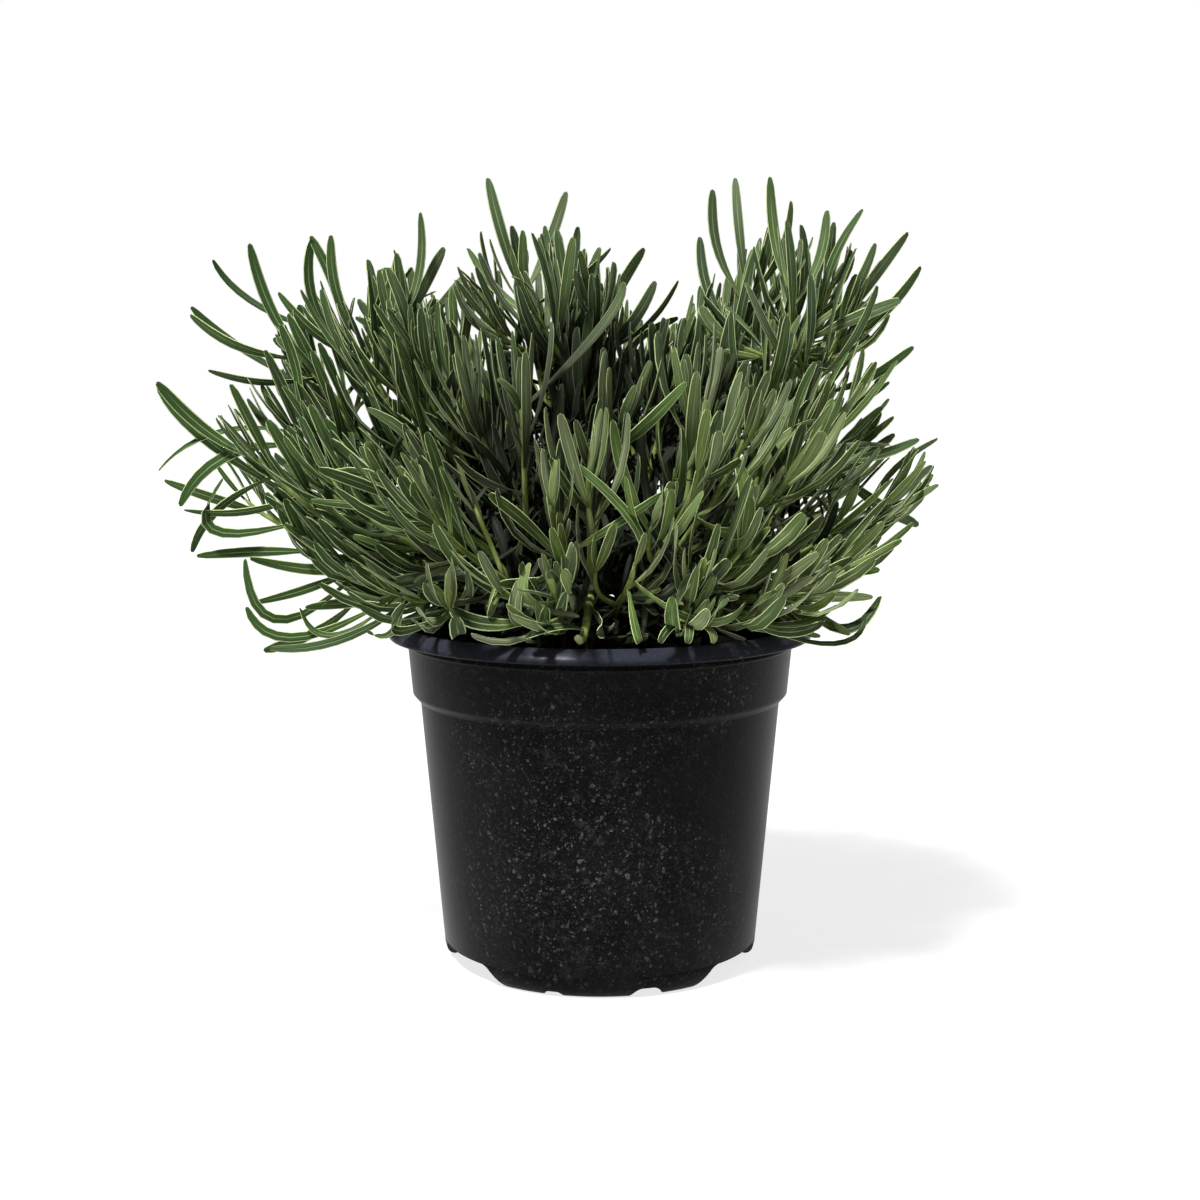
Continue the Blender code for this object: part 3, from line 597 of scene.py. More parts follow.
@dataclass(frozen=True)
class PotPlastic:
    """Moulded black plastic with a glossier lip that carries a painted bluish reflection, dried water marks,
    dust and scuffs.

    Attributes:
        name: The material's name.
        base: Colour of the plastic.
        faded: Colour where it has faded.
        painted_lip_reflection: Colour of the lip, a painted bluish reflection of the sky.
        lip: The heights between which the painted reflection on the lip comes in.
        mark: Colour of the marks and the dust.
        marked: The place round which most marks are.
        marked_reach: Distances from it at which the marks are gone and at which they are full.
    """

    name: str = "black_pot_plastic"
    base: Colour = (0.0009, 0.0009, 0.0012)
    faded: Colour = (0.0042, 0.0038, 0.0038)
    painted_lip_reflection: Colour = (0.027, 0.03, 0.043)
    lip: tuple[float, float] = (146 * MM, 149.5 * MM)
    mark: Colour = (0.14, 0.14, 0.134)
    marked: tuple[float, float, float] = (-14 * MM, -76 * MM, 58 * MM)
    marked_reach: tuple[float, float] = (64 * MM, 20 * MM)

    def build(self) -> Material:
        """Makes the material."""
        nodes = Nodes(self.name)
        body = nodes.mix(nodes.band(nodes.noise(28, 5), 0.35, 0.7), self.base, self.faded)
        height = nodes.add("SeparateXYZ")
        nodes.link(nodes.place(), height.inputs["Vector"])
        lip = nodes.band(height.outputs["Z"], *self.lip)
        # Painted reflection: the lip leans to a light bluish grey as if it mirrored the sky
        body = nodes.mix(nodes.product(lip, 0.8), body, self.painted_lip_reflection)
        pale = self.pale(nodes)
        nodes.paint(nodes.mix(pale, body, self.mark))
        nodes.roughen(nodes.maths("SUBTRACT", pale, nodes.product(lip, 0.25)), 0.4, 0.38)
        nodes.settle({"Specular IOR Level": 0.055, "Sheen Weight": 0.045})
        nodes.settle({"Sheen Roughness": 0.35, "Sheen Tint": (1.0, 0.93, 0.88, 1)})
        nodes.bump(nodes.noise(900, 4), 0.2, 0.25 * MM)
        return nodes.material

    def pale(self, nodes: Nodes) -> Socket:
        """How far the marks, scuffs, dust and milky patches cover the plastic, from 0 to 1."""
        spot = nodes.add("VectorMath", operation="DISTANCE")
        nodes.link(nodes.place(), spot.inputs[0])
        spot.inputs[1].default_value = self.marked
        patches = nodes.product(nodes.band(nodes.noise(17, 3), 0.4, 0.64), 0.75)
        where = nodes.largest(patches, nodes.band(spot.outputs["Value"], *self.marked_reach))
        fine = nodes.product(self.drops(nodes, 1500, 0.36, 0.5), 0.7)
        drops = nodes.largest(self.drops(nodes, 300, 0.24, 0.35), self.drops(nodes, 620, 0.32, 0.25), fine)
        drops = nodes.product(drops, nodes.band(nodes.noise(330, 3), 0.36, 0.62))
        marks = nodes.product(drops, nodes.maths("ADD", nodes.product(where, 0.75), 0.1))
        scuffs = nodes.band(nodes.noise(230, 3, (1, 1, 7)), 0.66, 0.8)
        scuffs = nodes.product(scuffs, nodes.product(where, 0.3))
        dust = nodes.product(nodes.band(nodes.noise(800, 6), 0.48, 0.8), 0.07)
        milky = nodes.band(nodes.noise(120, 8, (1, 1, 1), 0.8), 0.52, 0.72)
        milky = nodes.product(milky, nodes.product(where, 0.22))
        return nodes.largest(marks, scuffs, nodes.maths("ADD", dust, milky))

    def drops(self, nodes: Nodes, scale: float, size: float, share: float) -> Socket:
        """The marks that drops leave as they dry: uneven spots, paler at their outline.

        Args:
            nodes: The material's nodes.
            scale: Drops per metre.
            size: A drop's radius as a share of its cell.
            share: The share of the cells that have none.

        Returns:
            A value from 0 to 1.
        """
        place = nodes.place()
        waver = nodes.add("TexNoise", in_Scale=scale * 1.1, in_Detail=2.0)
        nodes.link(place, waver.inputs["Vector"])
        shift = nodes.add("VectorMath", operation="MULTIPLY_ADD")
        nodes.link(waver.outputs["Color"], shift.inputs[0])
        shift.inputs[1].default_value = (0.9 / scale,) * 3
        nodes.link(place, shift.inputs[2])
        cells = nodes.add("TexVoronoi", in_Scale=scale, in_Randomness=1.0)
        nodes.link(shift.outputs["Vector"], cells.inputs["Vector"])
        parts = nodes.add("SeparateColor")
        nodes.link(cells.outputs["Color"], parts.inputs["Color"])
        there = nodes.band(parts.outputs["Red"], share, share + 0.05)
        reach = nodes.product(nodes.maths("ADD", parts.outputs["Green"], 0.5), size)
        inside = nodes.maths("DIVIDE", cells.outputs["Distance"], reach)
        ring = nodes.product(nodes.band(inside, 0.3, 0.85), 0.65)
        spot = nodes.product(nodes.maths("ADD", ring, 0.35), nodes.band(inside, 1.05, 0.85))
        return nodes.product(spot, nodes.product(there, parts.outputs["Blue"]))


@dataclass(frozen=True)
class SoilFinish:
    """Dark potting mix with lighter fibres.

    Attributes:
        name: The material's name.
        dark: Colour between the fibres.
        light: Colour of the fibres.
    """

    name: str = "potting_mix"
    dark: Colour = (0.008, 0.006, 0.0045)
    light: Colour = (0.05, 0.033, 0.021)

    def build(self) -> Material:
        """Makes the material."""
        nodes = Nodes(self.name)
        grain = nodes.noise(420, 6)
        nodes.paint(nodes.mix(nodes.band(grain, 0.42, 0.75), self.dark, self.light))
        nodes.settle({"Roughness": 0.95})
        nodes.bump(grain, 0.9, 1.5 * MM)
        return nodes.material


@dataclass(frozen=True)
class FloorFinish:
    """A plain pale floor, lit from below like a light table, so that shadows on it stay faint.

    Attributes:
        name: The material's name.
        tone: Its colour.
        glow: How strongly it is lit from below.
    """

    name: str = "pale_floor"
    tone: Colour = (0.22, 0.22, 0.22)
    glow: float = 0.78

    def build(self) -> Material:
        """Makes the material."""
        nodes = Nodes(self.name)
        dimmer = tuple(value * 0.985 for value in self.tone)
        nodes.paint(nodes.mix(nodes.noise(3, 2), self.tone, dimmer))
        nodes.settle({"Roughness": 0.9, "Specular IOR Level": 0.1})
        nodes.settle({"Emission Color": (1, 1, 1, 1), "Emission Strength": self.glow})
        return nodes.material


class LeafSide(IntEnum):
    """Which material slot of a stem's piece a face takes."""

    TOP = 0
    UNDER = 1
    STEM = 2
    PITH = 3


def plant_materials() -> list[Material]:
    """The plant's materials in the order of LeafSide."""
    top = LeafFinish(
        "leaf_top",
        young=(0.22, 0.32, 0.058),
        fresh=(0.074, 0.15, 0.02),
        old=(0.009, 0.021, 0.005),
        grey=(0.205, 0.256, 0.115),
        down=(0.58, 0.69, 0.3),
        greyed=0.76,
        rib=0.34,
        edge=0.86,
        edge_start=0.81,
        crease_shade=0.62,
    )
    under = LeafFinish(
        "leaf_underside",
        young=(0.22, 0.3, 0.078),
        fresh=(0.105, 0.158, 0.05),
        old=(0.015, 0.024, 0.01),
        grey=(0.23, 0.26, 0.16),
        down=(0.6, 0.69, 0.35),
        greyed=0.7,
        rib=0.48,
        edge=0.82,
        edge_start=0.79,
        crease_shade=0.7,
    )
    stem = StemFinish(
        "stem_skin",
        green=(0.15, 0.21, 0.035),
        pale=(0.25, 0.31, 0.1),
        wood=(0.1, 0.075, 0.05),
        bark=(0.03, 0.023, 0.016),
    )
    pith = StemFinish(
        "cut_pith",
        green=(0.16, 0.2, 0.09),
        pale=(0.3, 0.32, 0.2),
        wood=(0.24, 0.22, 0.14),
        bark=(0.12, 0.11, 0.06),
    )
    return [top.build(), under.build(), stem.build(), pith.build()]


# ------------ curves and stems


class Path:
    """A cubic curve with its length and with axes that don't twist."""

    STEPS = 28

    def __init__(self, start: Vector, handle: Vector, other: Vector, end: Vector, across: Vector) -> None:
        """Measures the curve.

        Args:
            start: The curve's first point.
            handle: The control point after it.
            other: The control point before the end.
            end: The curve's last point.
            across: A direction that the first side axis follows.
        """
        self.places: list[Vector] = []
        for step in range(self.STEPS + 1):
            t = step / self.STEPS
            s = 1 - t
            self.places.append(start * s**3 + handle * (3 * s * s * t) + other * (3 * s * t * t) + end * t**3)
        self.lengths = [0.0]
        for a, b in zip(self.places, self.places[1:]):
            self.lengths.append(self.lengths[-1] + (b - a).length)
        self.length = self.lengths[-1]
        self.axes: list[tuple[Vector, Vector, Vector]] = []
        for step in range(self.STEPS + 1):
            ahead = self.places[min(step + 1, self.STEPS)] - self.places[max(step - 1, 0)]
            along = ahead.normalized()
            across = (across - along * across.dot(along)).normalized()
            self.axes.append((across.copy(), along.cross(across), along))

    def at(self, distance: float) -> tuple[Vector, Vector, Vector, Vector]:
        """A point of the curve and its axes.

        Args:
            distance: How far it is from the start.

        Returns:
            The place and the across, up and along axes.
        """
        distance = min(max(distance, 0.0), self.length)
        step = 1
        while step < self.STEPS and self.lengths[step] < distance:
            step += 1
        share = (distance - self.lengths[step - 1]) / (self.lengths[step] - self.lengths[step - 1])
        place = self.places[step - 1].lerp(self.places[step], share)
        before, after = self.axes[step - 1], self.axes[step]
        along = before[2].lerp(after[2], share).normalized()
        across = before[0].lerp(after[0], share)
        across = (across - along * across.dot(along)).normalized()
        return place, across, along.cross(across), along


def corners(centre: Vector, across: Vector, up: Vector, half: float) -> list[Vector]:
    """A square ring's corners, anticlockwise for someone who looks back from the tip.

    Args:
        centre: The ring's middle.
        across: One side's direction.
        up: The other side's direction.
        half: Half a side's length.

    Returns:
        The four corners.
    """
    return [
        centre - across * half - up * half,
        centre + across * half - up * half,
        centre + across * half + up * half,
        centre - across * half + up * half,
    ]


class Obstacles:
    """The shapes that a new stem keeps clear of."""

    def __init__(self) -> None:
        """Starts with none."""
        self.shapes: list[tuple] = []

    def add(self, points: Sequence[Vector], faces: Sequence[Sequence[int]], owner: object = None) -> None:
        """Adds a shape, with the stem that owns it."""
        self.shapes.append((*self.shape(points, faces), owner))

    def shape(self, points: Sequence[Vector], faces: Sequence[Sequence[int]]) -> tuple:
        """The shape's search tree and its lowest and highest corner."""
        low = [min(p[i] for p in points) for i in range(3)]
        high = [max(p[i] for p in points) for i in range(3)]
        return BVHTree.FromPolygons(points, faces), low, high

    def touched(self, points: Sequence[Vector], faces: Sequence[Sequence[int]], but: object = None) -> bool:
        """Whether a shape touches any of those added.

        Args:
            points: The shape's points.
            faces: Each face's point numbers.
            but: An owner whose shapes may be touched.

        Returns:
            True if it touches one.
        """
        tree, low, high = self.shape(points, faces)
        for other, other_low, other_high, owner in self.shapes:
            if but is not None and owner is but:
                continue
            if any(low[i] > other_high[i] or high[i] < other_low[i] for i in range(3)):
                continue
            if tree.overlap(other):
                return True
        return False


def ring_walls(sides: int, rings: int) -> list[list[int]]:
    """The faces of a closed tube: an end, its walls, the other end.

    Args:
        sides: Points in each ring.
        rings: How many rings there are.

    Returns:
        Each face's point numbers.
    """
    faces = [list(range(sides))[::-1]]
    for low in range(0, (rings - 1) * sides, sides):
        for k in range(sides):
            after = (k + 1) % sides
            faces.append([low + k, low + after, low + sides + after, low + sides + k])
    last = (rings - 1) * sides
    return faces + [[last + k for k in range(sides)]]


def path_tube(path: Path, first: float, half_low: float, half_high: float, spare: float) -> tuple:
    """A closed square tube round a path.

    Args:
        path: The path.
        first: Distance along it at which the tube starts.
        half_low: Half the stem's side there.
        half_high: Half its side at the tip.
        spare: How much wider than the stem the tube is on each side.

    Returns:
        The points and faces.
    """
    steps = 10
    points = []
    for step in range(steps + 1):
        share = step / steps
        place, across, up, _ = path.at(first + (path.length - first) * share)
        points += corners(place, across, up, half_low + (half_high - half_low) * share + spare)
    return points, ring_walls(4, steps + 1)


@dataclass
class Shoot:
    """A stem or a side shoot, with the shoots that leave it.

    Attributes:
        path: Its centre line.
        half_foot: Half its side where it starts.
        half_tip: Half its side at its tip.
        start_age: How old it is at its start, from 0 (young) to 1 (wood).
        bare: The share of its length that carries no leaves.
        nodes: Distances of the CAD's leaf pairs.
        branches: The shoots that leave it.
        cut: Whether it was cut off, so that it ends in bare pith.
    """

    path: Path
    half_foot: float
    half_tip: float
    start_age: float
    bare: float
    nodes: list[float] = field(default_factory=list)
    branches: list["Shoot"] = field(default_factory=list)
    cut: bool = False

    def half(self, distance: float) -> float:
        """Half the stem's side at a distance."""
        return self.half_foot + (self.half_tip - self.half_foot) * distance / self.path.length

    def age(self, distance: float) -> float:
        """How old the stem is at a distance, from 0 to 1."""
        return self.start_age * (1 - distance / self.path.length) ** 0.8

    def face(self, distance: float, side: int) -> Face:
        """The centre of a side face, and its lateral, outward and along directions."""
        place, across, up, along = self.path.at(distance)
        outward = (-up, across, up, -across)[side]
        lateral = (across, up, -across, -up)[side]
        return place + outward * self.half(distance), lateral, outward, along

    def all(self) -> Iterator["Shoot"]:
        """This shoot and every shoot that grows from it."""
        yield self
        for branch in self.branches:
            yield from branch.all()


@dataclass
class StemLayout:
    """Where the stems leave the soil and how they and their side shoots run, the same as in the CAD.

    Attributes:
        seed: Start of the random draws.
        gap: Room between two pieces that rest on each other.
        soil_top: Height of the soil.
        most_foot_radius: How far from the axis a stem leaves the soil at most.
        foot_share: That distance as a share of its tip's.
        foot_spacing: Least distance between two stems at the soil.
        wood_half: Half a stem's side at the soil.
        shoot_half: Half a side shoot's side at its start.
        tip_half: Half the side at a tip.
        spare: Room kept round a stem while its way is chosen.
        side_share: Where a side shoot leaves, as a share of its stem.
        pair_steps: Distances of the CAD's leaf pairs from the tip.
        bare_share: Share of a stem without leaves.
        bare_above: Least height of a leaf pair above the bare part.
        node_clear: Room between a side shoot and a leaf pair.
        free_from: Length from which a side shoot is clear of its own stem too.
        stem_tries: Most tries for a stem's way.
        side_tries: Most tries for a side shoot's way.
    """

    seed: int = 20
    gap: float = 0.3 * MM
    soil_top: float = 140 * MM
    most_foot_radius: float = 66 * MM
    foot_share: float = 0.36
    foot_spacing: float = 10 * MM
    wood_half: float = 1.8 * MM
    shoot_half: float = 1.3 * MM
    tip_half: float = 0.9 * MM
    spare: float = 0.8 * MM
    side_share: float = 0.42
    pair_steps: tuple[float, ...] = (5 * MM, 20 * MM, 41 * MM, 66 * MM)
    bare_share: float = 0.3
    bare_above: float = 6 * MM
    node_clear: float = 4 * MM
    free_from: float = 12 * MM
    stem_tries: int = 90
    side_tries: int = 200

    FOOT_SHIFT = 2 * MM  # moves each foot a little, each in another direction
    SHIFT_TURN = 2.4  # radians from one foot's direction to the next
    SPACING_ROUNDS = 60
    FREEDOM_TRIES = 60  # tries until the freedom is 1
    BEST_FACE_TRIES = 100  # tries on the best side face before the second best
    SIDE_STEPS = (5, 0.04)  # places tried further up the stem, and the share between two
    SIDE_STEPS_DOWN = (3, 0.06)  # the same further down

    def feet(self, tips: Sequence[Vector]) -> list[Vector]:
        """Where each stem leaves the soil: towards its tip, and clear of the other stems.

        Args:
            tips: The stems' tips.

        Returns:
            One place for each tip.
        """
        feet = []
        for index, tip in enumerate(tips):
            turn = index * self.SHIFT_TURN
            foot = Vector((tip.x, tip.y)) * self.foot_share
            feet.append(foot + Vector((math.cos(turn), math.sin(turn))) * self.FOOT_SHIFT)
        for _ in range(self.SPACING_ROUNDS):
            for i, a in enumerate(feet):
                for b in feet[i + 1 :]:
                    apart = b - a
                    if apart.length < self.foot_spacing:
                        push = apart.normalized() * (self.foot_spacing - apart.length) / 2
                        a -= push
                        b += push
            for foot in feet:
                if foot.length > self.most_foot_radius:
                    foot *= self.most_foot_radius / foot.length
        return [Vector((foot.x, foot.y, self.soil_top + self.gap)) for foot in feet]

    def stem_path(self, foot: Vector, tip: Vector, freedom: float, rng: Rng) -> Path:
        """A stem's curve.

        Args:
            foot: Where it leaves the soil.
            tip: Where it ends.
            freedom: From 0 on, lets it rise higher and wander more.
            rng: Its random draws.

        Returns:
            The curve.
        """
        chord = tip - foot
        up = upward(1)
        wander = Vector((rng.uniform(-1, 1), rng.uniform(-1, 1), 0)) * (4 + 6 * freedom) * MM
        handle = foot + up * chord.length * (0.4 + 0.6 * freedom * rng.random()) + wander
        lean = (chord.normalized() * 0.62 + up * 0.38 * min(1, chord.z / chord.length * 1.5)).normalized()
        other = tip - lean * chord.length * 0.33 + wander
        turn = rng.uniform(0, math.pi / 2)
        return Path(foot, handle, other, tip, Vector((math.cos(turn), math.sin(turn), 0)))

    def side_path(self, face: Face, tip: Vector, rng: Rng) -> Path:
        """A side shoot's curve from a stem's side face to its tip.

        Args:
            face: The side face.
            tip: Where the shoot ends.
            rng: Its random draws.

        Returns:
            The curve.
        """
        centre, lateral, outward, along = face
        chord = tip - centre
        handle = centre + (outward * 0.35 + along * 0.2) * chord.length
        lean = (chord.normalized() + upward(0.5) + along * 0.2).normalized()
        wander = Vector((rng.uniform(-1, 1), rng.uniform(-1, 1), rng.uniform(-1, 1))) * 3 * MM
        return Path(centre, handle, tip - lean * chord.length * 0.3 + wander, tip, lateral)

    def pairs(self, path: Path) -> list[float]:
        """Distances of the CAD's leaf pairs from the stem's start, lowest first."""
        lowest = self.bare_share * path.length + self.bare_above
        return sorted(path.length - back for back in self.pair_steps if path.length - back > lowest)

    def place(self) -> list[Shoot]:
        """All the stems with their side shoots, each clear of those before it."""
        rng = random.Random(self.seed)
        obstacles = Obstacles()
        for name in ("pot", "potting_soil"):
            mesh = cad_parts[name].data
            faces = [list(face.vertices) for face in mesh.polygons]
            obstacles.add([vert.co.copy() for vert in mesh.vertices], faces)
        tips = [[Vector(tip) * MM for tip in row] for row in STEMS]
        stems = []
        for row, foot in zip(tips, self.feet([row[0] for row in tips])):
            for attempt in range(self.stem_tries):
                path = self.stem_path(foot, row[0], attempt / self.FREEDOM_TRIES, rng)
                way = path_tube(path, 0, self.wood_half, self.tip_half, self.spare)
                if not obstacles.touched(*way):
                    break
            stem = Shoot(path, self.wood_half, self.tip_half, 1.0, self.bare_share, self.pairs(path))
            obstacles.add(*way, owner=stem)
            stems.append(stem)
        for stem, row in zip(stems, tips):
            for tip in row[1:]:
                self.add_side_shoot(stem, tip, obstacles, rng)
        return stems

    def add_side_shoot(self, stem: Shoot, tip: Vector, obstacles: Obstacles, rng: Rng) -> None:
        """Finds a clear way for a side shoot and adds it to its stem.

        Args:
            stem: The stem.
            tip: Where the shoot ends.
            obstacles: What it keeps clear of.
            rng: Its random draws.
        """
        steps = (self.SIDE_STEPS, self.SIDE_STEPS_DOWN)
        for attempt in range(self.side_tries):
            up, down = (attempt % count * share for count, share in steps)
            distance = (self.side_share + up - down) * stem.path.length
            if min(abs(distance - node) for node in stem.nodes) < self.node_clear:
                continue
            order = sorted(range(4), key=lambda side: -self.side_fit(stem, distance, side, tip))
            side = order[0 if attempt < self.BEST_FACE_TRIES else 1]
            path = self.side_path(stem.face(distance, side), tip, rng)
            way = path_tube(path, 0, self.shoot_half, self.tip_half, self.spare)
            if obstacles.touched(*way, but=stem):
                continue
            if obstacles.touched(*path_tube(path, self.free_from, self.shoot_half, self.tip_half, self.gap)):
                continue
            age = stem.age(distance) * 0.8
            stem.branches.append(Shoot(path, self.shoot_half, self.tip_half, age, self.bare_share))
            obstacles.add(*way, owner=stem)
            return
        raise RuntimeError(f"no way for the side shoot to {tip / MM}")

    def side_fit(self, stem: Shoot, distance: float, side: int, tip: Vector) -> float:
        """How well a side face looks towards a tip, up to 1."""
        centre, _, outward, _ = stem.face(distance, side)
        return outward.dot((tip - centre).normalized())


# ------------ leaves


@dataclass(frozen=True)
class LeafShape:
    """A lavender leaf's form: long and narrow with a blunt tip, a sunken midrib and rolled edges.

    The template is a leaf along Y from 0 to 1, with its half width and its thickness set to 1.

    Attributes:
        stations: (share of the length, share of the width) from foot to tip.
        section: (across, height) round the blade, from its left edge over the top and back underneath.
    """

    stations: tuple[tuple[float, float], ...] = (
        (0.0, 0.36), (0.14, 0.44), (0.33, 0.82), (0.54, 0.99), (0.75, 0.98), (0.92, 0.78), (0.985, 0.46),
    )  # fmt: skip
    section: tuple[tuple[float, float], ...] = (
        (-1.0, -0.1), (-0.8, 0.45), (0.0, 0.0), (0.8, 0.45),
        (1.0, -0.1), (0.62, -0.35), (0.0, -0.75), (-0.62, -0.35),
    )  # fmt: skip

    def finer(self) -> "LeafShape":
        """The same shape with twice as many stations, for leaves that bend more."""
        stations = [self.stations[0]]
        for before, after in zip(self.stations, self.stations[1:]):
            width = (before[1] + after[1]) / 2 + 0.03 * min(1, 2 * (after[0] - before[0]) / 0.3)
            stations += [((before[0] + after[0]) / 2, width), after]
        return LeafShape(tuple(stations))

    def template(self) -> Object:
        """Models the leaf once, by extruding its section from foot to tip.

        Returns:
            The leaf's object.
        """
        sides = len(self.section)
        leaf = primitive(bpy.ops.mesh.primitive_circle_add, vertices=sides, radius=1, fill_type="NGON")
        for vert, (across, height) in zip(leaf.data.vertices, self.section):
            vert.co = (across, 0, height)
        bpy.ops.object.mode_set(mode="EDIT")
        bpy.ops.mesh.select_all(action="SELECT")
        first = self.stations[0][1]
        bpy.ops.transform.resize(value=(first, 1, first))
        for (before, narrow), (after, wide) in zip(self.stations, self.stations[1:]):
            bpy.ops.mesh.extrude_region_move(TRANSFORM_OT_translate={"value": (0, after - before, 0)})
            flat = (0.35 + 0.65 * wide) / (0.35 + 0.65 * narrow)
            bpy.ops.transform.resize(value=(wide / narrow, 1, flat))
        last = 1 - self.stations[-1][0]
        bpy.ops.mesh.extrude_region_move(TRANSFORM_OT_translate={"value": (0, last, 0)})
        bpy.ops.mesh.merge(type="CENTER")
        bpy.ops.mesh.select_all(action="SELECT")
        bpy.ops.mesh.normals_make_consistent(inside=False)
        bpy.ops.object.mode_set(mode="OBJECT")
        return leaf


class LeafPattern:
    """The leaf template as arrays, ready to be laid along any leaf's curve."""

    def __init__(self, shape: LeafShape) -> None:
        """Models the template, reads it and removes it."""
        obj = shape.template()
        mesh = obj.data
        points = np.empty(len(mesh.vertices) * 3)
        mesh.vertices.foreach_get("co", points)
        self.points = points.reshape(-1, 3)
        self.faces = [list(face.vertices) for face in mesh.polygons]
        under = len(shape.section) // 2
        self.sides = [self.side_of(face, under) for face in self.faces]
        widths = np.interp(self.points[:, 1], *zip(*shape.stations, (1.0, 0.3)))
        self.across = self.points[:, 0] / widths
        bpy.data.objects.remove(obj)

    def side_of(self, face: list[int], under: int) -> LeafSide:
        """Whether a face belongs to the leaf's top or its underside, by its middle's height."""
        middle = self.points[face].mean(axis=0)
        ring = self.points[np.abs(self.points[:, 1] - self.points[face, 1].min()) < 1e-4]
        return LeafSide.TOP if middle[2] > ring[:, 2].mean() - 0.02 * under else LeafSide.UNDER


def swept(foot: Vector, way: Vector, end_way: Vector, length: float) -> np.ndarray:
    """A leaf's middle line that starts in one direction and ends in another.

    Args:
        foot: Where it starts.
        way: The direction in which it leaves.
        end_way: The direction that its tip points in.
        length: Its length.

    Returns:
        The line's points from foot to tip.
    """
    turn = np.linspace(0, 1, Leaf.STEPS + 1)[:, None]
    turn = turn * turn * (3 - 2 * turn)
    ways = np.array(way) * (1 - turn) + np.array(end_way) * turn
    ways /= np.linalg.norm(ways, axis=1)[:, None]
    steps = (ways[1:] + ways[:-1]) / 2 * length / Leaf.STEPS
    return np.vstack([np.zeros(3), np.cumsum(steps, axis=0)]) + np.array(foot)


def bowed(foot: Vector, middle: Vector, tip: Vector) -> np.ndarray:
    """A leaf's middle line through three places.

    Args:
        foot: Where it starts.
        middle: A place half-way.
        tip: Where it ends.

    Returns:
        The line's points.
    """
    t = np.linspace(0, 1, Leaf.STEPS + 1)[:, None]
    handle = np.array(middle) * 2 - (np.array(foot) + np.array(tip)) / 2
    return np.array(foot) * (1 - t) ** 2 + handle * 2 * t * (1 - t) + np.array(tip) * t * t


@dataclass
class Leaf:
    """One leaf's place and bend.

    Attributes:
        line: Points along its middle, from foot to tip.
        across: The direction of its width.
        width: Its full width.
        age: 0 for a bud leaf, 1 for the oldest, more for a withered one.
        twist: How far the blade turns about its own line, in radians.
        fold: How far its halves fold up along the midrib, in radians.
        taper: How much wider it is near the foot than near the tip, from -1 to 1.
        fine: Whether it gets the finer mesh.
    """

    line: np.ndarray
    across: Vector
    width: float
    age: float
    twist: float = 0.0
    fold: float = 0.2
    taper: float = 0.0
    fine: bool = False

    STEPS = 12
    THICKNESS = 0.85 * MM

    def laid(self, pattern: LeafPattern) -> np.ndarray:
        """Lays the template along this leaf.

        Args:
            pattern: The template.

        Returns:
            The template's points there.
        """
        along = np.gradient(self.line, axis=0)
        along /= np.linalg.norm(along, axis=1)[:, None]
        across = np.array(self.across) - along * (along @ np.array(self.across))[:, None]
        across /= np.linalg.norm(across, axis=1)[:, None]
        up = np.cross(across, along)
        share = np.clip(pattern.points[:, 1], 0, 1)
        spots = np.linspace(0, 1, self.STEPS + 1)

        def at(rows: np.ndarray) -> np.ndarray:
            """The rows' values at every point of the template."""
            return np.stack([np.interp(share, spots, rows[:, axis]) for axis in range(3)], axis=1)

        turn = (self.twist * share)[:, None]
        side = at(across) * np.cos(turn) + at(up) * np.sin(turn)
        top = at(up) * np.cos(turn) - at(across) * np.sin(turn)
        wide = pattern.points[:, 0] * self.width / 2 * (1 + self.taper * (1 - 2 * share))
        high = pattern.points[:, 2] * self.THICKNESS + np.abs(wide) * math.sin(self.fold)
        return at(self.line) + side * (wide * math.cos(self.fold))[:, None] + top * high[:, None]


def leaf_to(foot: Vector, tip: Vector, outward: Vector, along: Vector) -> np.ndarray:
    """The middle line of a leaf from a stem's face to a given tip, leaving outwards and curving up.

    Args:
        foot: Where it starts.
        tip: Where it ends.
        outward: The direction away from the stem.
        along: The direction along the stem.

    Returns:
        The line's points.
    """
    chord = tip - foot
    way = (chord.normalized() + outward * 0.35 - along * 0.1).normalized()
    end_way = (chord.normalized() * 2 - way).normalized()
    reached = Vector(swept(foot, way, end_way, chord.length)[-1]) - foot
    turn = reached.rotation_difference(chord)
    way.rotate(turn)
    end_way.rotate(turn)
    return swept(foot, way, end_way, chord.length * chord.length / reached.length)


@dataclass
class LeafRule:
    """How leaves follow each other down a shoot.

    Attributes:
        first_step: Distance of the first pair from the tip.
        step_growth: What each distance between pairs adds to the one before.
        most_step: The longest distance between pairs.
        full_length: A grown leaf's length.
        full_width: A grown leaf's width.
        reach: The shortest and the longest leaf that grows to a placed tip.
    """

    first_step: float = 1.5 * MM
    step_growth: float = 2 * MM
    most_step: float = 12.5 * MM
    full_length: float = 52 * MM
    full_width: float = 4.9 * MM
    reach: tuple[float, float] = (26 * MM, 66 * MM)

    def distances(self, length: float, bare: float) -> Iterator[tuple[int, float]]:
        """Follows the pairs of leaves down a shoot.

        Args:
            length: The shoot's length.
            bare: The share of it that carries no leaves.

        Yields:
            Each pair's number from the tip and its distance from the shoot's start.
        """
        back = self.first_step
        step = self.first_step
        number = 0
        while length - back > bare * length:
            yield number, length - back
            step = min(step + self.step_growth, self.most_step)
            back += step
            number += 1

    def size(self, number: int) -> tuple[float, float]:
        """The length and width of a leaf in a pair, counted from the tip."""
        share = min(1.0, 0.4 + 0.18 * number)
        shrink = 1 - 0.04 * max(0, number - 5)
        return self.full_length * share * shrink, self.full_width * (0.45 + 0.55 * share)


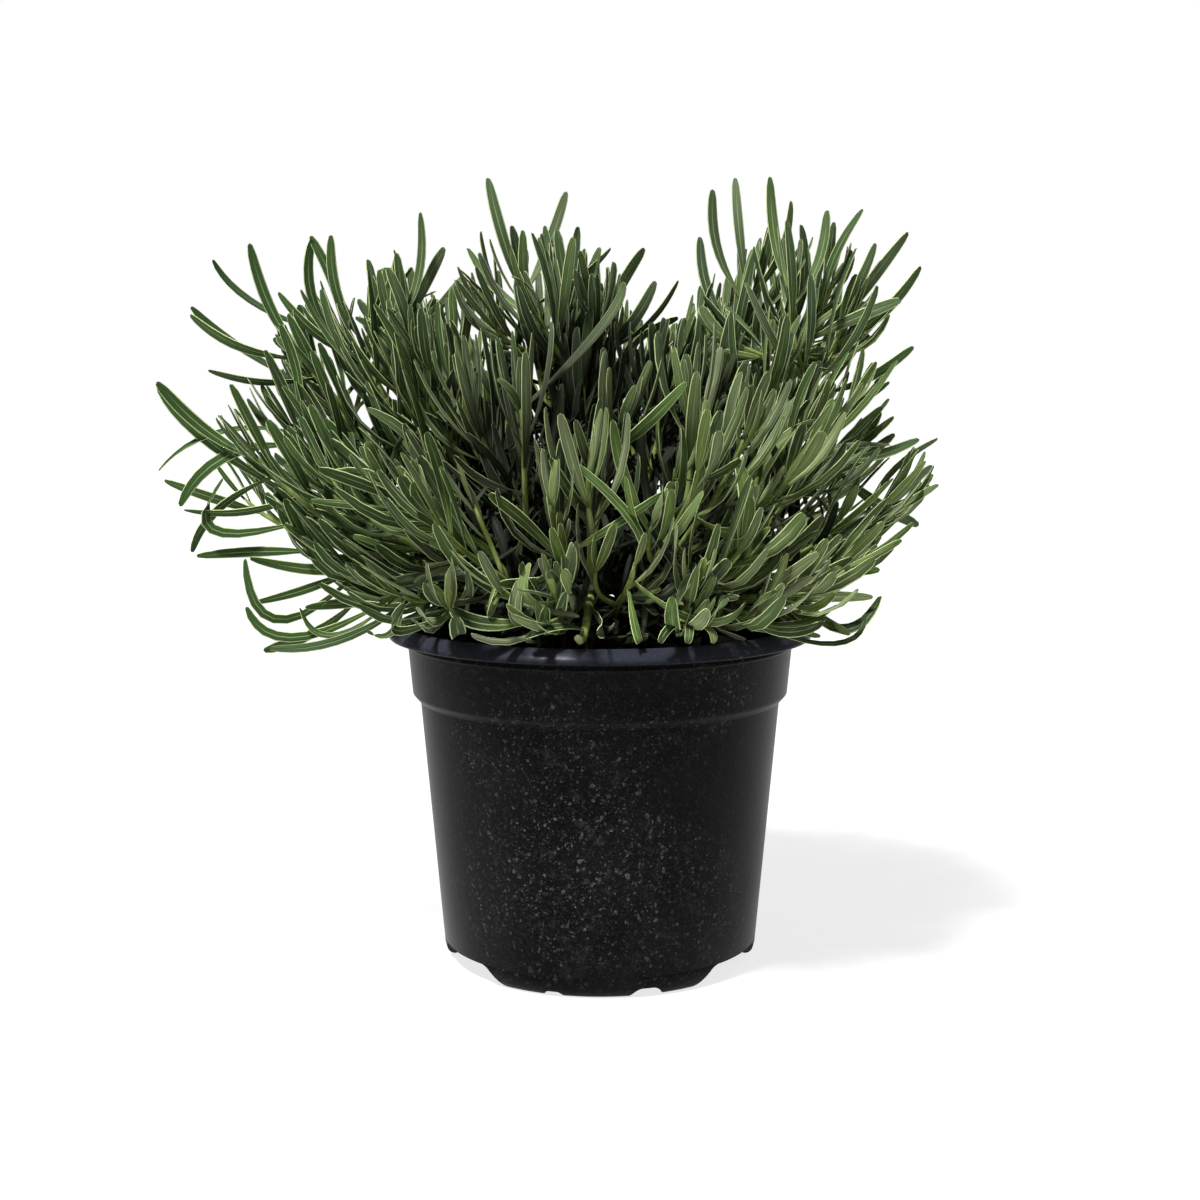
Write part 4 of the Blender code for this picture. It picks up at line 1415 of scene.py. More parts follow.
@dataclass
class Limits:
    """Where leaves may be: above the soil and rim, and inside the plant's outline.

    Attributes:
        rim_inner: Radius inside which only soil is below.
        rim_outer: Radius outside which nothing is below.
        rim_top: Height of the rim.
        soil_top: Height of the soil.
    """

    rim_inner: float = 84 * MM
    rim_outer: float = 98 * MM
    rim_top: float = 155 * MM
    soil_top: float = 140.5 * MM

    def outline_at(self, outline: tuple, right: np.ndarray | float) -> np.ndarray:
        """An outline's height at distances to the right, in metres."""
        return np.interp(right / MM, *zip(*outline)) * MM

    def blocked(self, leaf: Leaf) -> bool:
        """Whether any of the leaf runs into the soil or the rim, or hangs too low."""
        line = leaf.line[2:]
        if (line[4:, 2] < self.outline_at(SKIRT_OUTLINE, line[4:, 0])).any():
            return True
        radius = np.hypot(line[:, 0], line[:, 1])
        floor = np.where(radius < self.rim_inner, self.soil_top, self.rim_top)
        floor = np.where(radius > self.rim_outer, -1.0, floor)
        return bool((line[:, 2] < floor).any())

    def hollow(self, leaf: Leaf) -> bool:
        """Whether the leaf's outer half is in one of the hollows in the front."""
        x, y, z = leaf.line[8] / MM
        return y < -38 and any(math.hypot((x - mx) / hx, (z - mz) / hz) < 1 for mx, mz, hx, hz in HOLLOWS)

    def overshoot(self, leaf: Leaf) -> float:
        """How far the leaf's tip passes the plant's outline, in metres."""
        tip = leaf.line[-1]
        above = tip[2] - self.outline_at(CROWN_OUTLINE, tip[0])
        low, high = CAD_BOX
        sides = max(low[0] - tip[0], tip[0] - high[0], low[1] - tip[1], tip[1] - high[1])
        return max(above, sides)


BudKey = tuple[int, int, int]  # which shoot, which pair from its tip, and which side


@dataclass(frozen=True)
class Bud:
    """A place where one leaf of a pair can grow.

    Attributes:
        stem: The index of its stem.
        key: What tells it from the others.
        number: The pair's number from the shoot's tip.
        centre: The place.
        lateral: The direction across the side face.
        outward: The direction away from the shoot.
        along: The direction towards the shoot's tip.
    """

    stem: int
    key: BudKey
    number: int
    centre: Vector
    lateral: Vector
    outward: Vector
    along: Vector


class LavenderPlant:
    """All the stems with their leaves, one piece for each stem that leaves the soil."""

    SEED = 7
    TUFT_CHANCE = 0.3
    FRONT_TUFTS = 0.3  # the same for front stems, as a share of the chance
    LOW = (0.08, 0.3)  # the part of a stem where low shoots leave it, as shares of its length
    HIGH = (0.35, 0.8)  # the same for the shoots of the top
    FRONT = -60 * MM  # tips further forward than this belong to front stems
    SPARE_FRONT = -40 * MM  # the same for having fewer twigs and fewer shaded leaves
    FRONT_BARE = 0.42  # share of a front stem without leaves
    FRONT_WIDTH = 1.22  # how much wider the front leaves are
    TWIG_HALF = 0.8  # half a twig's side, as a share of a side shoot's
    SINK = 0.4 * MM  # how deep a leaf's foot sits in its stem
    DEEP_SINK = 0.5 * MM  # the same for a leaf of a pair and a shaded leaf
    TWIG_SHARES = (0.36, 0.55, 0.72)  # where twigs leave a stem, as shares of its length
    FRONT_TWIG_SHARES = (0.45,)
    TWIGS_ABOVE = 158 * MM  # no twig leaves a stem below this height
    PREFER_OUT = 14 * MM  # how much longer a way may be that leaves straight outwards
    OUTER_LENGTH = 48 * MM  # usual length of an outline leaf
    OUTER_OUT = 12 * MM  # how much longer it may be where it leaves straight outwards
    OUTER_ALONG = 14 * MM  # the same where it runs along its stem
    PAIR_TRIES = 5  # tries to bend a leaf of a pair until it stays inside the outline
    LITTER = 60  # most shaded and withered leaves on a stem
    FRONT_LITTER = 34
    LITTER_LENGTHS = (22 * MM, 48 * MM)
    LITTER_WIDTHS = (2.8 * MM, 5.6 * MM)
    LITTER_DEPTH = 12 * MM  # how far inside the outline they stay

    def __init__(self) -> None:
        """Lays out the stems and their further side shoots."""
        self.rng = random.Random(self.SEED)
        self.shade_rng = random.Random(self.SEED + 1)
        self.layout = StemLayout()
        self.rule = LeafRule()
        self.limits = Limits()
        self.patterns = {False: LeafPattern(LeafShape()), True: LeafPattern(LeafShape().finer())}
        self.stems = self.layout.place()
        self.leaves: list[list[Leaf]] = [[] for _ in self.stems]

    def grow(self) -> None:
        """Grows the extra shoots, the outline leaves and then all the other leaves."""
        for stem in self.stems:
            self.add_twigs(stem)
            if stem.path.places[-1].y < self.FRONT:
                stem.bare = self.FRONT_BARE
        twig_half = self.layout.shoot_half * self.TWIG_HALF
        for tip in TOP_TIPS:
            self.add_shoot_to(Vector(tip) * MM, twig_half, self.HIGH, 45 * MM)
        for tip in RIM_TIPS:
            self.add_shoot_to(Vector(tip) * MM, twig_half, self.LOW, 0)
        stub = self.add_shoot_to(Vector(CUT_TIP) * MM, 2 * MM, self.LOW, 0)
        stub.half_tip = 1.3 * MM
        stub.cut = True
        taken = self.place_outer_leaves()
        for *places, width, age in BENT_LEAVES:
            self.place_bent_leaf(*(Vector(place) * MM for place in places), width * MM, age)
        for stem, leaves in zip(self.stems, self.leaves):
            for shoot in stem.all():
                if not shoot.cut:
                    self.clothe(shoot, leaves, taken)
            leaves.extend(self.litter(stem))

    def add_twigs(self, stem: Shoot) -> None:
        """Gives a stem short leafy shoots between its side shoots."""
        front = stem.path.places[-1].y < self.SPARE_FRONT
        for share in self.FRONT_TWIG_SHARES if front else self.TWIG_SHARES:
            distance = (share + self.rng.uniform(-0.04, 0.04)) * stem.path.length
            side = self.rng.randrange(4)
            centre, lateral, outward, along = stem.face(distance, side)
            if centre.z < self.TWIGS_ABOVE:
                continue
            length = (stem.path.length - distance) * self.rng.uniform(0.45, 0.75)
            way = outward * self.rng.uniform(0.5, 0.8) + along + upward(0.45)
            tip = centre + way.normalized() * length
            half = self.layout.shoot_half * self.TWIG_HALF
            path = self.layout.side_path((centre, lateral, outward, along), tip, self.rng)
            stem.branches.append(Shoot(path, half, self.layout.tip_half, stem.age(distance) * 0.6, 0.22))

    def add_shoot_to(self, tip: Vector, half: float, part: tuple[float, float], reach: float) -> Shoot:
        """Adds a shoot with a given tip to the stem that suits it best.

        Args:
            tip: Where the shoot ends.
            half: Half its side where it starts.
            part: The part of a stem that it may leave from, as shares of the stem's length.
            reach: The length that it should have at least.

        Returns:
            The new shoot.
        """
        low, high = part
        places = (
            (stem, (low + (high - low) * step / 8) * stem.path.length, side)
            for stem in self.stems
            for step in range(9)
            for side in range(4)
        )

        def cost(place: tuple[Shoot, float, int]) -> float:
            """Low where the way is short, leaves outwards and is no shorter than the reach."""
            stem, distance, side = place
            centre, _, outward, _ = stem.face(distance, side)
            chord = tip - centre
            way = chord.length - self.PREFER_OUT * outward.dot(chord.normalized())
            return way + 3 * max(0.0, reach - chord.length)

        stem, distance, side = min(places, key=cost)
        face = stem.face(distance, side)
        path = self.layout.side_path(face, tip, self.rng)
        shoot = Shoot(path, half, self.layout.tip_half, stem.age(distance) * 0.55, 0.2)
        stem.branches.append(shoot)
        return shoot

    def place_bent_leaf(self, start: Vector, middle: Vector, tip: Vector, width: float, age: float) -> None:
        """Adds a leaf through three places, from the shoot that passes nearest to its start.

        Args:
            start: Where it starts.
            middle: A place half-way.
            tip: Where it ends.
            width: Its width.
            age: Its age.
        """
        places = (
            (index, shoot.face(shoot.path.length * step / 40, side))
            for index, stem in enumerate(self.stems)
            for shoot in stem.all()
            for step in range(2, 40)
            for side in range(4)
        )

        def cost(place: tuple[int, Face]) -> float:
            """Low near the start and on a side that looks along the leaf."""
            centre, _, outward, _ = place[1]
            return (centre - start).length - 3 * MM * outward.dot((middle - centre).normalized())

        above_rim = (place for place in places if place[1][0].z >= self.limits.rim_top)
        index, (centre, _, outward, _) = min(above_rim, key=cost)
        foot = centre - outward * self.SINK
        LOG.info("bent leaf to %s starts %.0f mm away", tuple(tip / MM), (centre - start).length / MM)
        line = bowed(foot, middle, tip)
        way = Vector(line[-1] - line[0])
        towards = Vector((self.rng.uniform(-0.4, 0.4), -1, self.rng.uniform(-0.2, 0.9)))
        across = way.cross(towards).normalized()
        leaf = Leaf(line, across, width, age, self.rng.uniform(-0.5, 0.5), fine=True)
        self.leaves[index].append(leaf)

    def buds(self) -> Iterator[Bud]:
        """Every place for a leaf below the first pair of each shoot."""
        for index, stem in enumerate(self.stems):
            for shoot in stem.all():
                for number, distance in self.rule.distances(shoot.path.length, shoot.bare):
                    for side in pair_sides(number) if number else ():
                        yield Bud(index, (id(shoot), number, side), number, *shoot.face(distance, side))

    def place_outer_leaves(self) -> set[BudKey]:
        """Gives each outline tip a leaf from the best place within reach.

        Returns:
            The places taken, so that no second leaf grows there.
        """
        buds = list(self.buds())
        taken: set[BudKey] = set()
        shortest, longest = self.rule.reach
        for place in OUTER_LEAVES:
            tip = Vector(place) * MM
            near = (bud for bud in buds if shortest < (tip - bud.centre).length < longest)
            free = [bud for bud in near if bud.key not in taken]
            if not free:
                LOG.info("no place for the outline leaf to %s", place)
                continue
            bud = min(free, key=lambda bud: self.outer_cost(bud, tip))
            taken.add(bud.key)
            self.leaves[bud.stem].append(self.outer_leaf(bud, tip))
        return taken

    def outer_cost(self, bud: Bud, tip: Vector) -> float:
        """Low where a leaf to the tip has its usual length and leaves outwards and along the stem."""
        reach = tip - bud.centre
        way = reach.normalized()
        cost = abs(reach.length - self.OUTER_LENGTH) - self.OUTER_OUT * way.dot(bud.outward)
        return cost - self.OUTER_ALONG * way.dot(bud.along)

    def outer_leaf(self, bud: Bud, tip: Vector) -> Leaf:
        """The leaf from a bud to a tip on the outline, turned to the front more or less.

        Args:
            bud: Where it grows.
            tip: Where it ends.

        Returns:
            The leaf.
        """
        line = leaf_to(bud.centre - bud.outward * self.SINK, tip, bud.outward, bud.along)
        way = (tip - bud.centre).normalized()
        facing = way.cross(Vector((0, -1, 0)))
        side_way = bud.along.cross(bud.outward)
        side_way *= 0.5 if side_way.dot(facing) > 0 else -0.5
        across = side_way + facing * self.rng.uniform(0.4, 1.2)
        width = self.rule.full_width * self.rng.uniform(0.85, 1.15)
        age = min(1, 0.2 + bud.number * 0.08)
        leaf = Leaf(line, across.normalized(), width, age, self.rng.uniform(-0.5, 0.5), fine=True)
        leaf.taper = self.rng.uniform(-0.15, 0.3)
        return leaf

    def clothe(self, shoot: Shoot, leaves: list[Leaf], taken: set[BudKey]) -> None:
        """Adds a shoot's pairs of leaves and the small tufts between leaf and stem.

        Args:
            shoot: The shoot.
            leaves: The list that the leaves are added to.
            taken: Places that have a leaf already.
        """
        for number, distance in self.rule.distances(shoot.path.length, shoot.bare):
            for side in pair_sides(number):
                if (id(shoot), number, side) not in taken:
                    leaf = self.pair_leaf(shoot, number, distance, side)
                    if leaf:
                        leaves.append(leaf)
                front = shoot.path.places[-1].y < self.FRONT
                chance = self.TUFT_CHANCE * (self.FRONT_TUFTS if front else 1)
                if number > 3 and self.rng.random() < chance:
                    leaves.extend(self.tuft(shoot, number, distance, side))

    def pair_leaf(self, shoot: Shoot, number: int, distance: float, side: int) -> Leaf | None:
        """One leaf of a pair, turned up or shortened where it would leave the outline.

        Args:
            shoot: The shoot.
            number: The pair's number from the tip.
            distance: Its distance from the shoot's start.
            side: The side face.

        Returns:
            The leaf, or None where there is no room for it.
        """
        rng = self.rng
        centre, lateral, outward, along = shoot.face(distance, side)
        length, width = self.rule.size(number)
        length *= rng.uniform(0.85, 1.15)
        if centre.y < -50 * MM:
            width *= self.FRONT_WIDTH
        opening = math.radians(10 + 4.8 * min(number, 8) + rng.uniform(-5, 10))
        closing = opening * rng.uniform(-0.25, 0.5)
        swing = lateral * rng.uniform(-0.22, 0.22)
        lift = upward(rng.uniform(0.25, 0.75) if rng.random() < 0.95 else rng.uniform(-0.8, 0))
        width *= rng.uniform(0.72, 1.25)
        twist = rng.uniform(-0.9, 0.9)
        fold = rng.uniform(0.1, 0.45)
        taper = rng.uniform(-0.25, 0.35)
        foot = centre - outward * self.DEEP_SINK
        for _ in range(self.PAIR_TRIES):
            way = (outward * math.sin(opening) + along * math.cos(opening) + swing).normalized()
            end_way = outward * math.sin(closing) + along * math.cos(closing) + swing * 1.5 + lift
            line = swept(foot, way, end_way.normalized(), length)
            leaf = Leaf(line, lateral, width, min(1.0, 0.04 + number * 0.085), twist, fold, taper)
            over = self.limits.overshoot(leaf)
            rise = (line[-1][2] - line[0][2]) / length
            if centre.z > 225 * MM and rise < 0.6:
                lift = lift + upward(0.6)
                opening *= 0.75
            elif self.limits.blocked(leaf):
                lift = lift + upward(0.5)
                opening *= 0.8
                length *= 0.9
            elif over > 0:
                length = max(0.45 * length, length - over - 2 * MM)
                opening *= 0.9
            elif self.limits.hollow(leaf) and rng.random() < 0.8:
                return None
            else:
                return leaf
        return None

    def litter(self, stem: Shoot) -> Iterator[Leaf]:
        """The shaded and withered leaves inside the plant.

        Args:
            stem: The stem they are on.

        Yields:
            The leaves.
        """
        rng = self.shade_rng
        for index in range(self.FRONT_LITTER if stem.path.places[-1].y < self.SPARE_FRONT else self.LITTER):
            share = rng.uniform(0.05, 0.4) if index % 3 else rng.uniform(0.3, 0.72)
            centre, lateral, outward, along = stem.face(share * stem.path.length, rng.randrange(4))
            if centre.y < -45 * MM and share > 0.35 and centre.z > 190 * MM:
                continue
            way = outward + along * rng.uniform(-0.2, 1.4) + lateral * rng.uniform(-0.6, 0.6)
            end_way = outward * rng.uniform(0, 0.8) + lateral * rng.uniform(-0.9, 0.9)
            end_way += upward(rng.uniform(-0.7, 1.3))
            length = rng.uniform(*self.LITTER_LENGTHS)
            line = swept(centre - outward * self.DEEP_SINK, way.normalized(), end_way.normalized(), length)
            width = rng.uniform(*self.LITTER_WIDTHS)
            age = rng.uniform(0.9, 1.3)
            leaf = Leaf(line, lateral, width, age, rng.uniform(-1.6, 1.6), rng.uniform(0.2, 0.6))
            if self.limits.blocked(leaf) or self.limits.hollow(leaf):
                continue
            if self.limits.overshoot(leaf) < -self.LITTER_DEPTH:
                yield leaf

    def tuft(self, shoot: Shoot, number: int, distance: float, side: int) -> Iterator[Leaf]:
        """The two to four small leaves that sit between a grown leaf and the stem.

        Args:
            shoot: The shoot.
            number: The pair's number from the tip.
            distance: Its distance from the shoot's start.
            side: The side face.

        Yields:
            The leaves.
        """
        rng = self.rng
        centre, lateral, outward, along = shoot.face(distance + 1.5 * MM, side)
        size = rng.uniform(0.25, 0.55)
        for index in range(rng.choice((2, 3, 4))):
            turn = index * 1.7 + rng.uniform(-0.4, 0.4)
            fan = outward * (0.45 + 0.35 * math.cos(turn)) + lateral * 0.4 * math.sin(turn) + along
            way = fan.normalized()
            end_way = (fan + along * 0.6 + upward(0.2)).normalized()
            length = self.rule.full_length * size * rng.uniform(0.7, 1.1)
            width = self.rule.full_width * (0.35 + 0.5 * size)
            across = lateral * math.cos(turn) - outward * math.sin(turn) * 0.6
            line = swept(centre - outward * self.SINK, way, end_way, length)
            leaf = Leaf(line, across, width, 0.12, rng.uniform(-0.4, 0.4))
            clear = not self.limits.blocked(leaf) and not self.limits.hollow(leaf)
            if clear and self.limits.overshoot(leaf) < 0:
                yield leaf

    def build(self, materials: list[Material]) -> None:
        """Makes one piece for each stem."""
        for index, (stem, leaves) in enumerate(zip(self.stems, self.leaves), 1):
            node = f"stem_{index:02d}"
            obj = StemMesh(self.patterns, self.rng).build(node, stem, leaves, materials)
            finish_piece(obj, f"leafy_{node}", (node,))
        shoots = sum(len(list(stem.all())) for stem in self.stems)
        LOG.info("%d leaves on %d shoots", sum(map(len, self.leaves)), shoots)


def pair_sides(number: int) -> tuple[int, int]:
    """The two sides that carry a pair: each pair stands across the one before."""
    return (0, 2) if number % 2 == 0 else (1, 3)


class StemMesh:
    """Collects a stem's skin and leaves into one mesh."""

    RING_STEP = 6 * MM  # distance between two rings of the skin
    SIDES = 8
    CORNER = 1.12  # distance of the rounded square's corners from its middle, as a share of its half side

    def __init__(self, patterns: dict[bool, LeafPattern], rng: Rng) -> None:
        """Starts with an empty mesh."""
        self.patterns = patterns
        self.rng = rng
        self.points: list[np.ndarray] = []
        self.faces: list[list[int]] = []
        self.sides: list[int] = []
        self.values: dict[str, list[np.ndarray]] = {"across": [], "along": [], "age": [], "tint": []}
        self.count = 0

    def add(self, points: np.ndarray, faces: list[list[int]], sides: list[int], **values: np.ndarray) -> None:
        """Adds a closed shape.

        Args:
            points: Its points.
            faces: Each face's point numbers.
            sides: The material slot of each face.
            **values: The value of each attribute, for the whole shape or for each point.
        """
        self.faces.extend([corner + self.count for corner in face] for face in faces)
        self.sides.extend(int(side) for side in sides)
        self.points.append(points)
        for name, value in values.items():
            self.values[name].append(np.broadcast_to(value, len(points)).astype(float))
        self.count += len(points)

    def add_leaf(self, leaf: Leaf) -> None:
        """Adds one leaf, with a tint of its own."""
        pattern = self.patterns[leaf.fine]
        along = pattern.points[:, 1]
        values = {"across": pattern.across, "along": along, "age": leaf.age, "tint": self.rng.random()}
        self.add(leaf.laid(pattern), pattern.faces, pattern.sides, **values)

    def add_skin(self, shoot: Shoot) -> None:
        """Adds a stem's skin: rounded square rings from its start to its tip, closed at both ends."""
        rings = max(6, round(shoot.path.length / self.RING_STEP))
        sides = self.SIDES
        points = []
        ages = []
        for step in range(rings + 1):
            share = step / rings
            distance = share * shoot.path.length
            place, across, up, _ = shoot.path.at(distance)
            half = shoot.half(distance) * (1 if step < rings or shoot.cut else 0.4)
            for k in range(sides):
                angle = (k + 0.5) * math.tau / sides
                reach = half * self.CORNER
                points.append(place + across * math.cos(angle) * reach + up * math.sin(angle) * reach)
                ages.append(shoot.age(distance))
        faces = ring_walls(sides, rings + 1)
        self.add(
            np.array([tuple(point) for point in points]),
            faces,
            [LeafSide.STEM] * (len(faces) - 1) + [LeafSide.PITH if shoot.cut else LeafSide.STEM],
            across=0.0,
            along=0.0,
            age=np.array(ages),
            tint=self.rng.random(),
        )

    def build(self, name: str, stem: Shoot, leaves: list[Leaf], materials: list[Material]) -> Object:
        """Makes the stem's object.

        Args:
            name: The mesh's name.
            stem: The stem with all its shoots.
            leaves: Its leaves.
            materials: The plant's materials in the order of LeafSide.

        Returns:
            The new object.
        """
        for shoot in stem.all():
            self.add_skin(shoot)
        for leaf in leaves:
            self.add_leaf(leaf)
        obj = mesh_object(name, np.vstack(self.points), self.faces, materials)
        obj.data.polygons.foreach_set("material_index", self.sides)
        for key, parts in self.values.items():
            attribute = obj.data.attributes.new(key, "FLOAT", "POINT")
            attribute.data.foreach_set("value", np.concatenate(parts))
        return obj


# ------------ pot and soil


@dataclass
class NurseryPot:
    """The round nursery pot at the CAD's sizes, with rounded edges. Its own sizes are in millimetres.

    PAD, CHANNEL_WALL, FOOT, STEP, LINE, LIP and INSIDE are (radius, height) points of the turned profile: the
    flat pad in the middle of the base, the raised channel round it, the foot, the step below the collar, the
    line under the lip, the rolled lip, and the inside from the lip down to the floor.

    Attributes:
        segments: Facets round the pot.
        wall_foot: Radius and height where the plain wall starts.
        wall_top: Radius and height where it ends.
        foot_radius: The foot's outer radius.
        channel_height: Height of the raised channel's underside.
        drain_ring: Radius of the ring that the drain holes are on.
        drain_radius: A drain hole's radius.
        drains: How many drain holes there are.
        smooth_below: Edges flatter than this, in degrees, look rounded.
        notches: For each notch in a third of the foot: its angle in degrees from the front, its width, its
            height, the rounding of its top corners, and how much wider it is at its lower end.
    """

    segments: int = 144
    wall_foot: tuple[float, float] = (71.1, 6.5)
    wall_top: tuple[float, float] = (81.0, 118.0)
    foot_radius: float = 67.0
    channel_height: float = 9.8
    drain_ring: float = 49.0
    drain_radius: float = 3.5
    drains: int = 6
    smooth_below: float = 38
    notches: tuple[tuple[float, ...], ...] = (
        (60, 39, 8.8, 2.6, 1.62),
        (-17, 6, 2.2, 1.2, 2.6),
        (17, 9, 4, 2.2, 2.6),
    )

    PAD = ((29.7, 0.0), (30.2, 0.2), (31.0, 1.0), (33.0, 8.8), (34.0, 9.8))
    CHANNEL_WALL = ((65.4, 9.8), (66.6, 8.6), (66.6, 4.0))
    FOOT = ((65.5, 0.3), (65.9, 0.0), (66.6, 0.0), (67.6, 0.4), (68.6, 1.2), (69.6, 2.5), (70.4, 4.2))
    STEP = ((81.5, 118.3), (83.9, 121.0), (84.4, 121.7), (84.52, 122.6))
    LINE = ((86.4, 142.7), (86.85, 143.1), (86.95, 143.6), (86.8, 144.1), (86.6, 144.5), (86.8, 149.2))
    LIP = (
        (87.5, 149.9), (93.1, 147.3), (93.9, 146.85), (94.5, 146.8), (94.9, 147.2), (94.95, 147.7),
        (94.5, 148.8), (93.6, 150.1), (91.9, 151.7), (90.9, 152.55), (90.0, 153.0), (89.3, 152.95),
        (88.7, 152.5), (88.3, 151.6),
    )  # fmt: skip
    INSIDE = (
        (85.2, 144.8), (83.0, 121.7), (79.6, 118.0), (69.3, 12.4), (68.1, 11.2), (33.4, 11.2), (29.6, 1.4),
    )  # fmt: skip

    def profile(self) -> list[tuple[float, float]]:
        """(radius, height) from the pad's edge outside up to the rim, and down inside to the floor."""
        grooved = [(self.wall_at(8.6), 8.6), (self.wall_at(9.0) - 0.18, 9.0), (self.wall_at(9.6), 9.6)]
        plain = [(self.wall_at(height), height) for height in (40, 80, 117)]
        wall = [self.wall_foot, *grooved, *plain, self.wall_top]
        rows = [*self.PAD, *self.CHANNEL_WALL, *self.FOOT, *wall, *self.STEP, *self.LINE, *self.LIP]
        return [(radius * MM, height * MM) for radius, height in [*rows, *self.INSIDE]]

    def wall_at(self, height: float) -> float:
        """The outer radius of the plain wall at a height, in millimetres."""
        (low_radius, low), (high_radius, high) = self.wall_foot, self.wall_top
        return low_radius + (high_radius - low_radius) * (height - low) / (high - low)

    def turned(self) -> Object:
        """Models the pot's body by extruding its base ring by ring.

        Returns:
            The pot's object.
        """
        profile = self.profile()
        radius, height = profile[0]
        pot = primitive(
            bpy.ops.mesh.primitive_circle_add,
            vertices=self.segments,
            radius=radius,
            fill_type="TRIFAN",
            location=(0, 0, height),
        )
        bpy.ops.object.mode_set(mode="EDIT")
        bpy.ops.mesh.select_all(action="SELECT")
        for next_radius, next_height in profile[1:]:
            bpy.ops.mesh.extrude_region_move(TRANSFORM_OT_translate={"value": (0, 0, next_height - height)})
            share = next_radius / radius
            bpy.ops.transform.resize(value=(share, share, 1), center_override=(0, 0, 0))
            radius, height = next_radius, next_height
        bpy.ops.mesh.select_all(action="SELECT")
        bpy.ops.mesh.normals_make_consistent(inside=False)
        bpy.ops.object.mode_set(mode="OBJECT")
        return pot

    def cut(self, pot: Object, cutter: Object) -> None:
        """Takes a cutter's shape out of the pot and removes the cutter."""
        tool(pot)
        boolean = pot.modifiers.new("cut", "BOOLEAN")
        boolean.operation = "DIFFERENCE"
        boolean.solver = "EXACT"
        boolean.object = cutter
        bpy.ops.object.modifier_apply(modifier=boolean.name)
        bpy.data.objects.remove(cutter)

    def notch(self, degrees: float, width: float, height: float, rounding: float, flare: float) -> Object:
        """A cutter for a notch in the foot, with rounded top corners and sides that spread downwards.

        Args:
            degrees: The notch's angle from the front.
            width: Its width in metres.
            height: Its height above the ground in metres.
            rounding: Radius of its top corners in metres.
            flare: The cutter's width at its lower end, as a share of its width at the top.

        Returns:
            The cutter.
        """
        below = 5 * MM
        through = 26 * MM
        middle = (0, 0, (height - below) / 2)
        cutter = primitive(bpy.ops.mesh.primitive_cube_add, size=1, location=middle)
        cutter.scale = (width, through, height + below)
        bpy.ops.object.transform_apply(location=True, rotation=False, scale=True)
        bpy.ops.object.mode_set(mode="EDIT")
        bpy.ops.mesh.select_all(action="DESELECT")
        bpy.ops.object.mode_set(mode="OBJECT")
        for vert in cutter.data.vertices:
            if vert.co.z < 0:
                vert.co.x *= flare
        for edge in cutter.data.edges:
            ends = [cutter.data.vertices[index].co for index in edge.vertices]
            edge.select = all(end.z > 0 for end in ends) and abs(ends[0].x - ends[1].x) < MM
        bpy.ops.object.mode_set(mode="EDIT")
        bpy.ops.mesh.bevel(offset=rounding, segments=6)
        bpy.ops.object.mode_set(mode="OBJECT")
        turn = math.radians(degrees)
        reach = (self.foot_radius + 5) * MM
        cutter.rotation_euler = Euler((0, 0, turn))
        cutter.location = (math.sin(turn) * reach, -math.cos(turn) * reach, 0)
        return cutter

    def drain(self, degrees: float) -> Object:
        """A cutter for one of the drain holes in the channel's ceiling.

        Args:
            degrees: The hole's angle from the front.

        Returns:
            The cutter.
        """
        turn = math.radians(degrees)
        reach = self.drain_ring * MM
        place = (math.sin(turn) * reach, -math.cos(turn) * reach, self.channel_height * MM)
        radius = self.drain_radius * MM
        add = bpy.ops.mesh.primitive_cylinder_add
        return primitive(add, vertices=24, radius=radius, depth=8 * MM, location=place)

    def build(self) -> None:
        """Models the pot, cuts its notches and holes, and dresses it."""
        pot = self.turned()
        for third in (0, 120, 240):
            for degrees, width, height, rounding, flare in self.notches:
                notch = self.notch(third + degrees, width * MM, height * MM, rounding * MM, flare)
                self.cut(pot, notch)
        for index in range(self.drains):
            self.cut(pot, self.drain(index * 360 / self.drains))
        pot.data.materials.clear()
        pot.data.materials.append(PotPlastic().build())
        tool(pot)
        bpy.ops.object.shade_smooth_by_angle(angle=math.radians(self.smooth_below))
        finish_piece(pot, "nursery_pot", ("pot",))


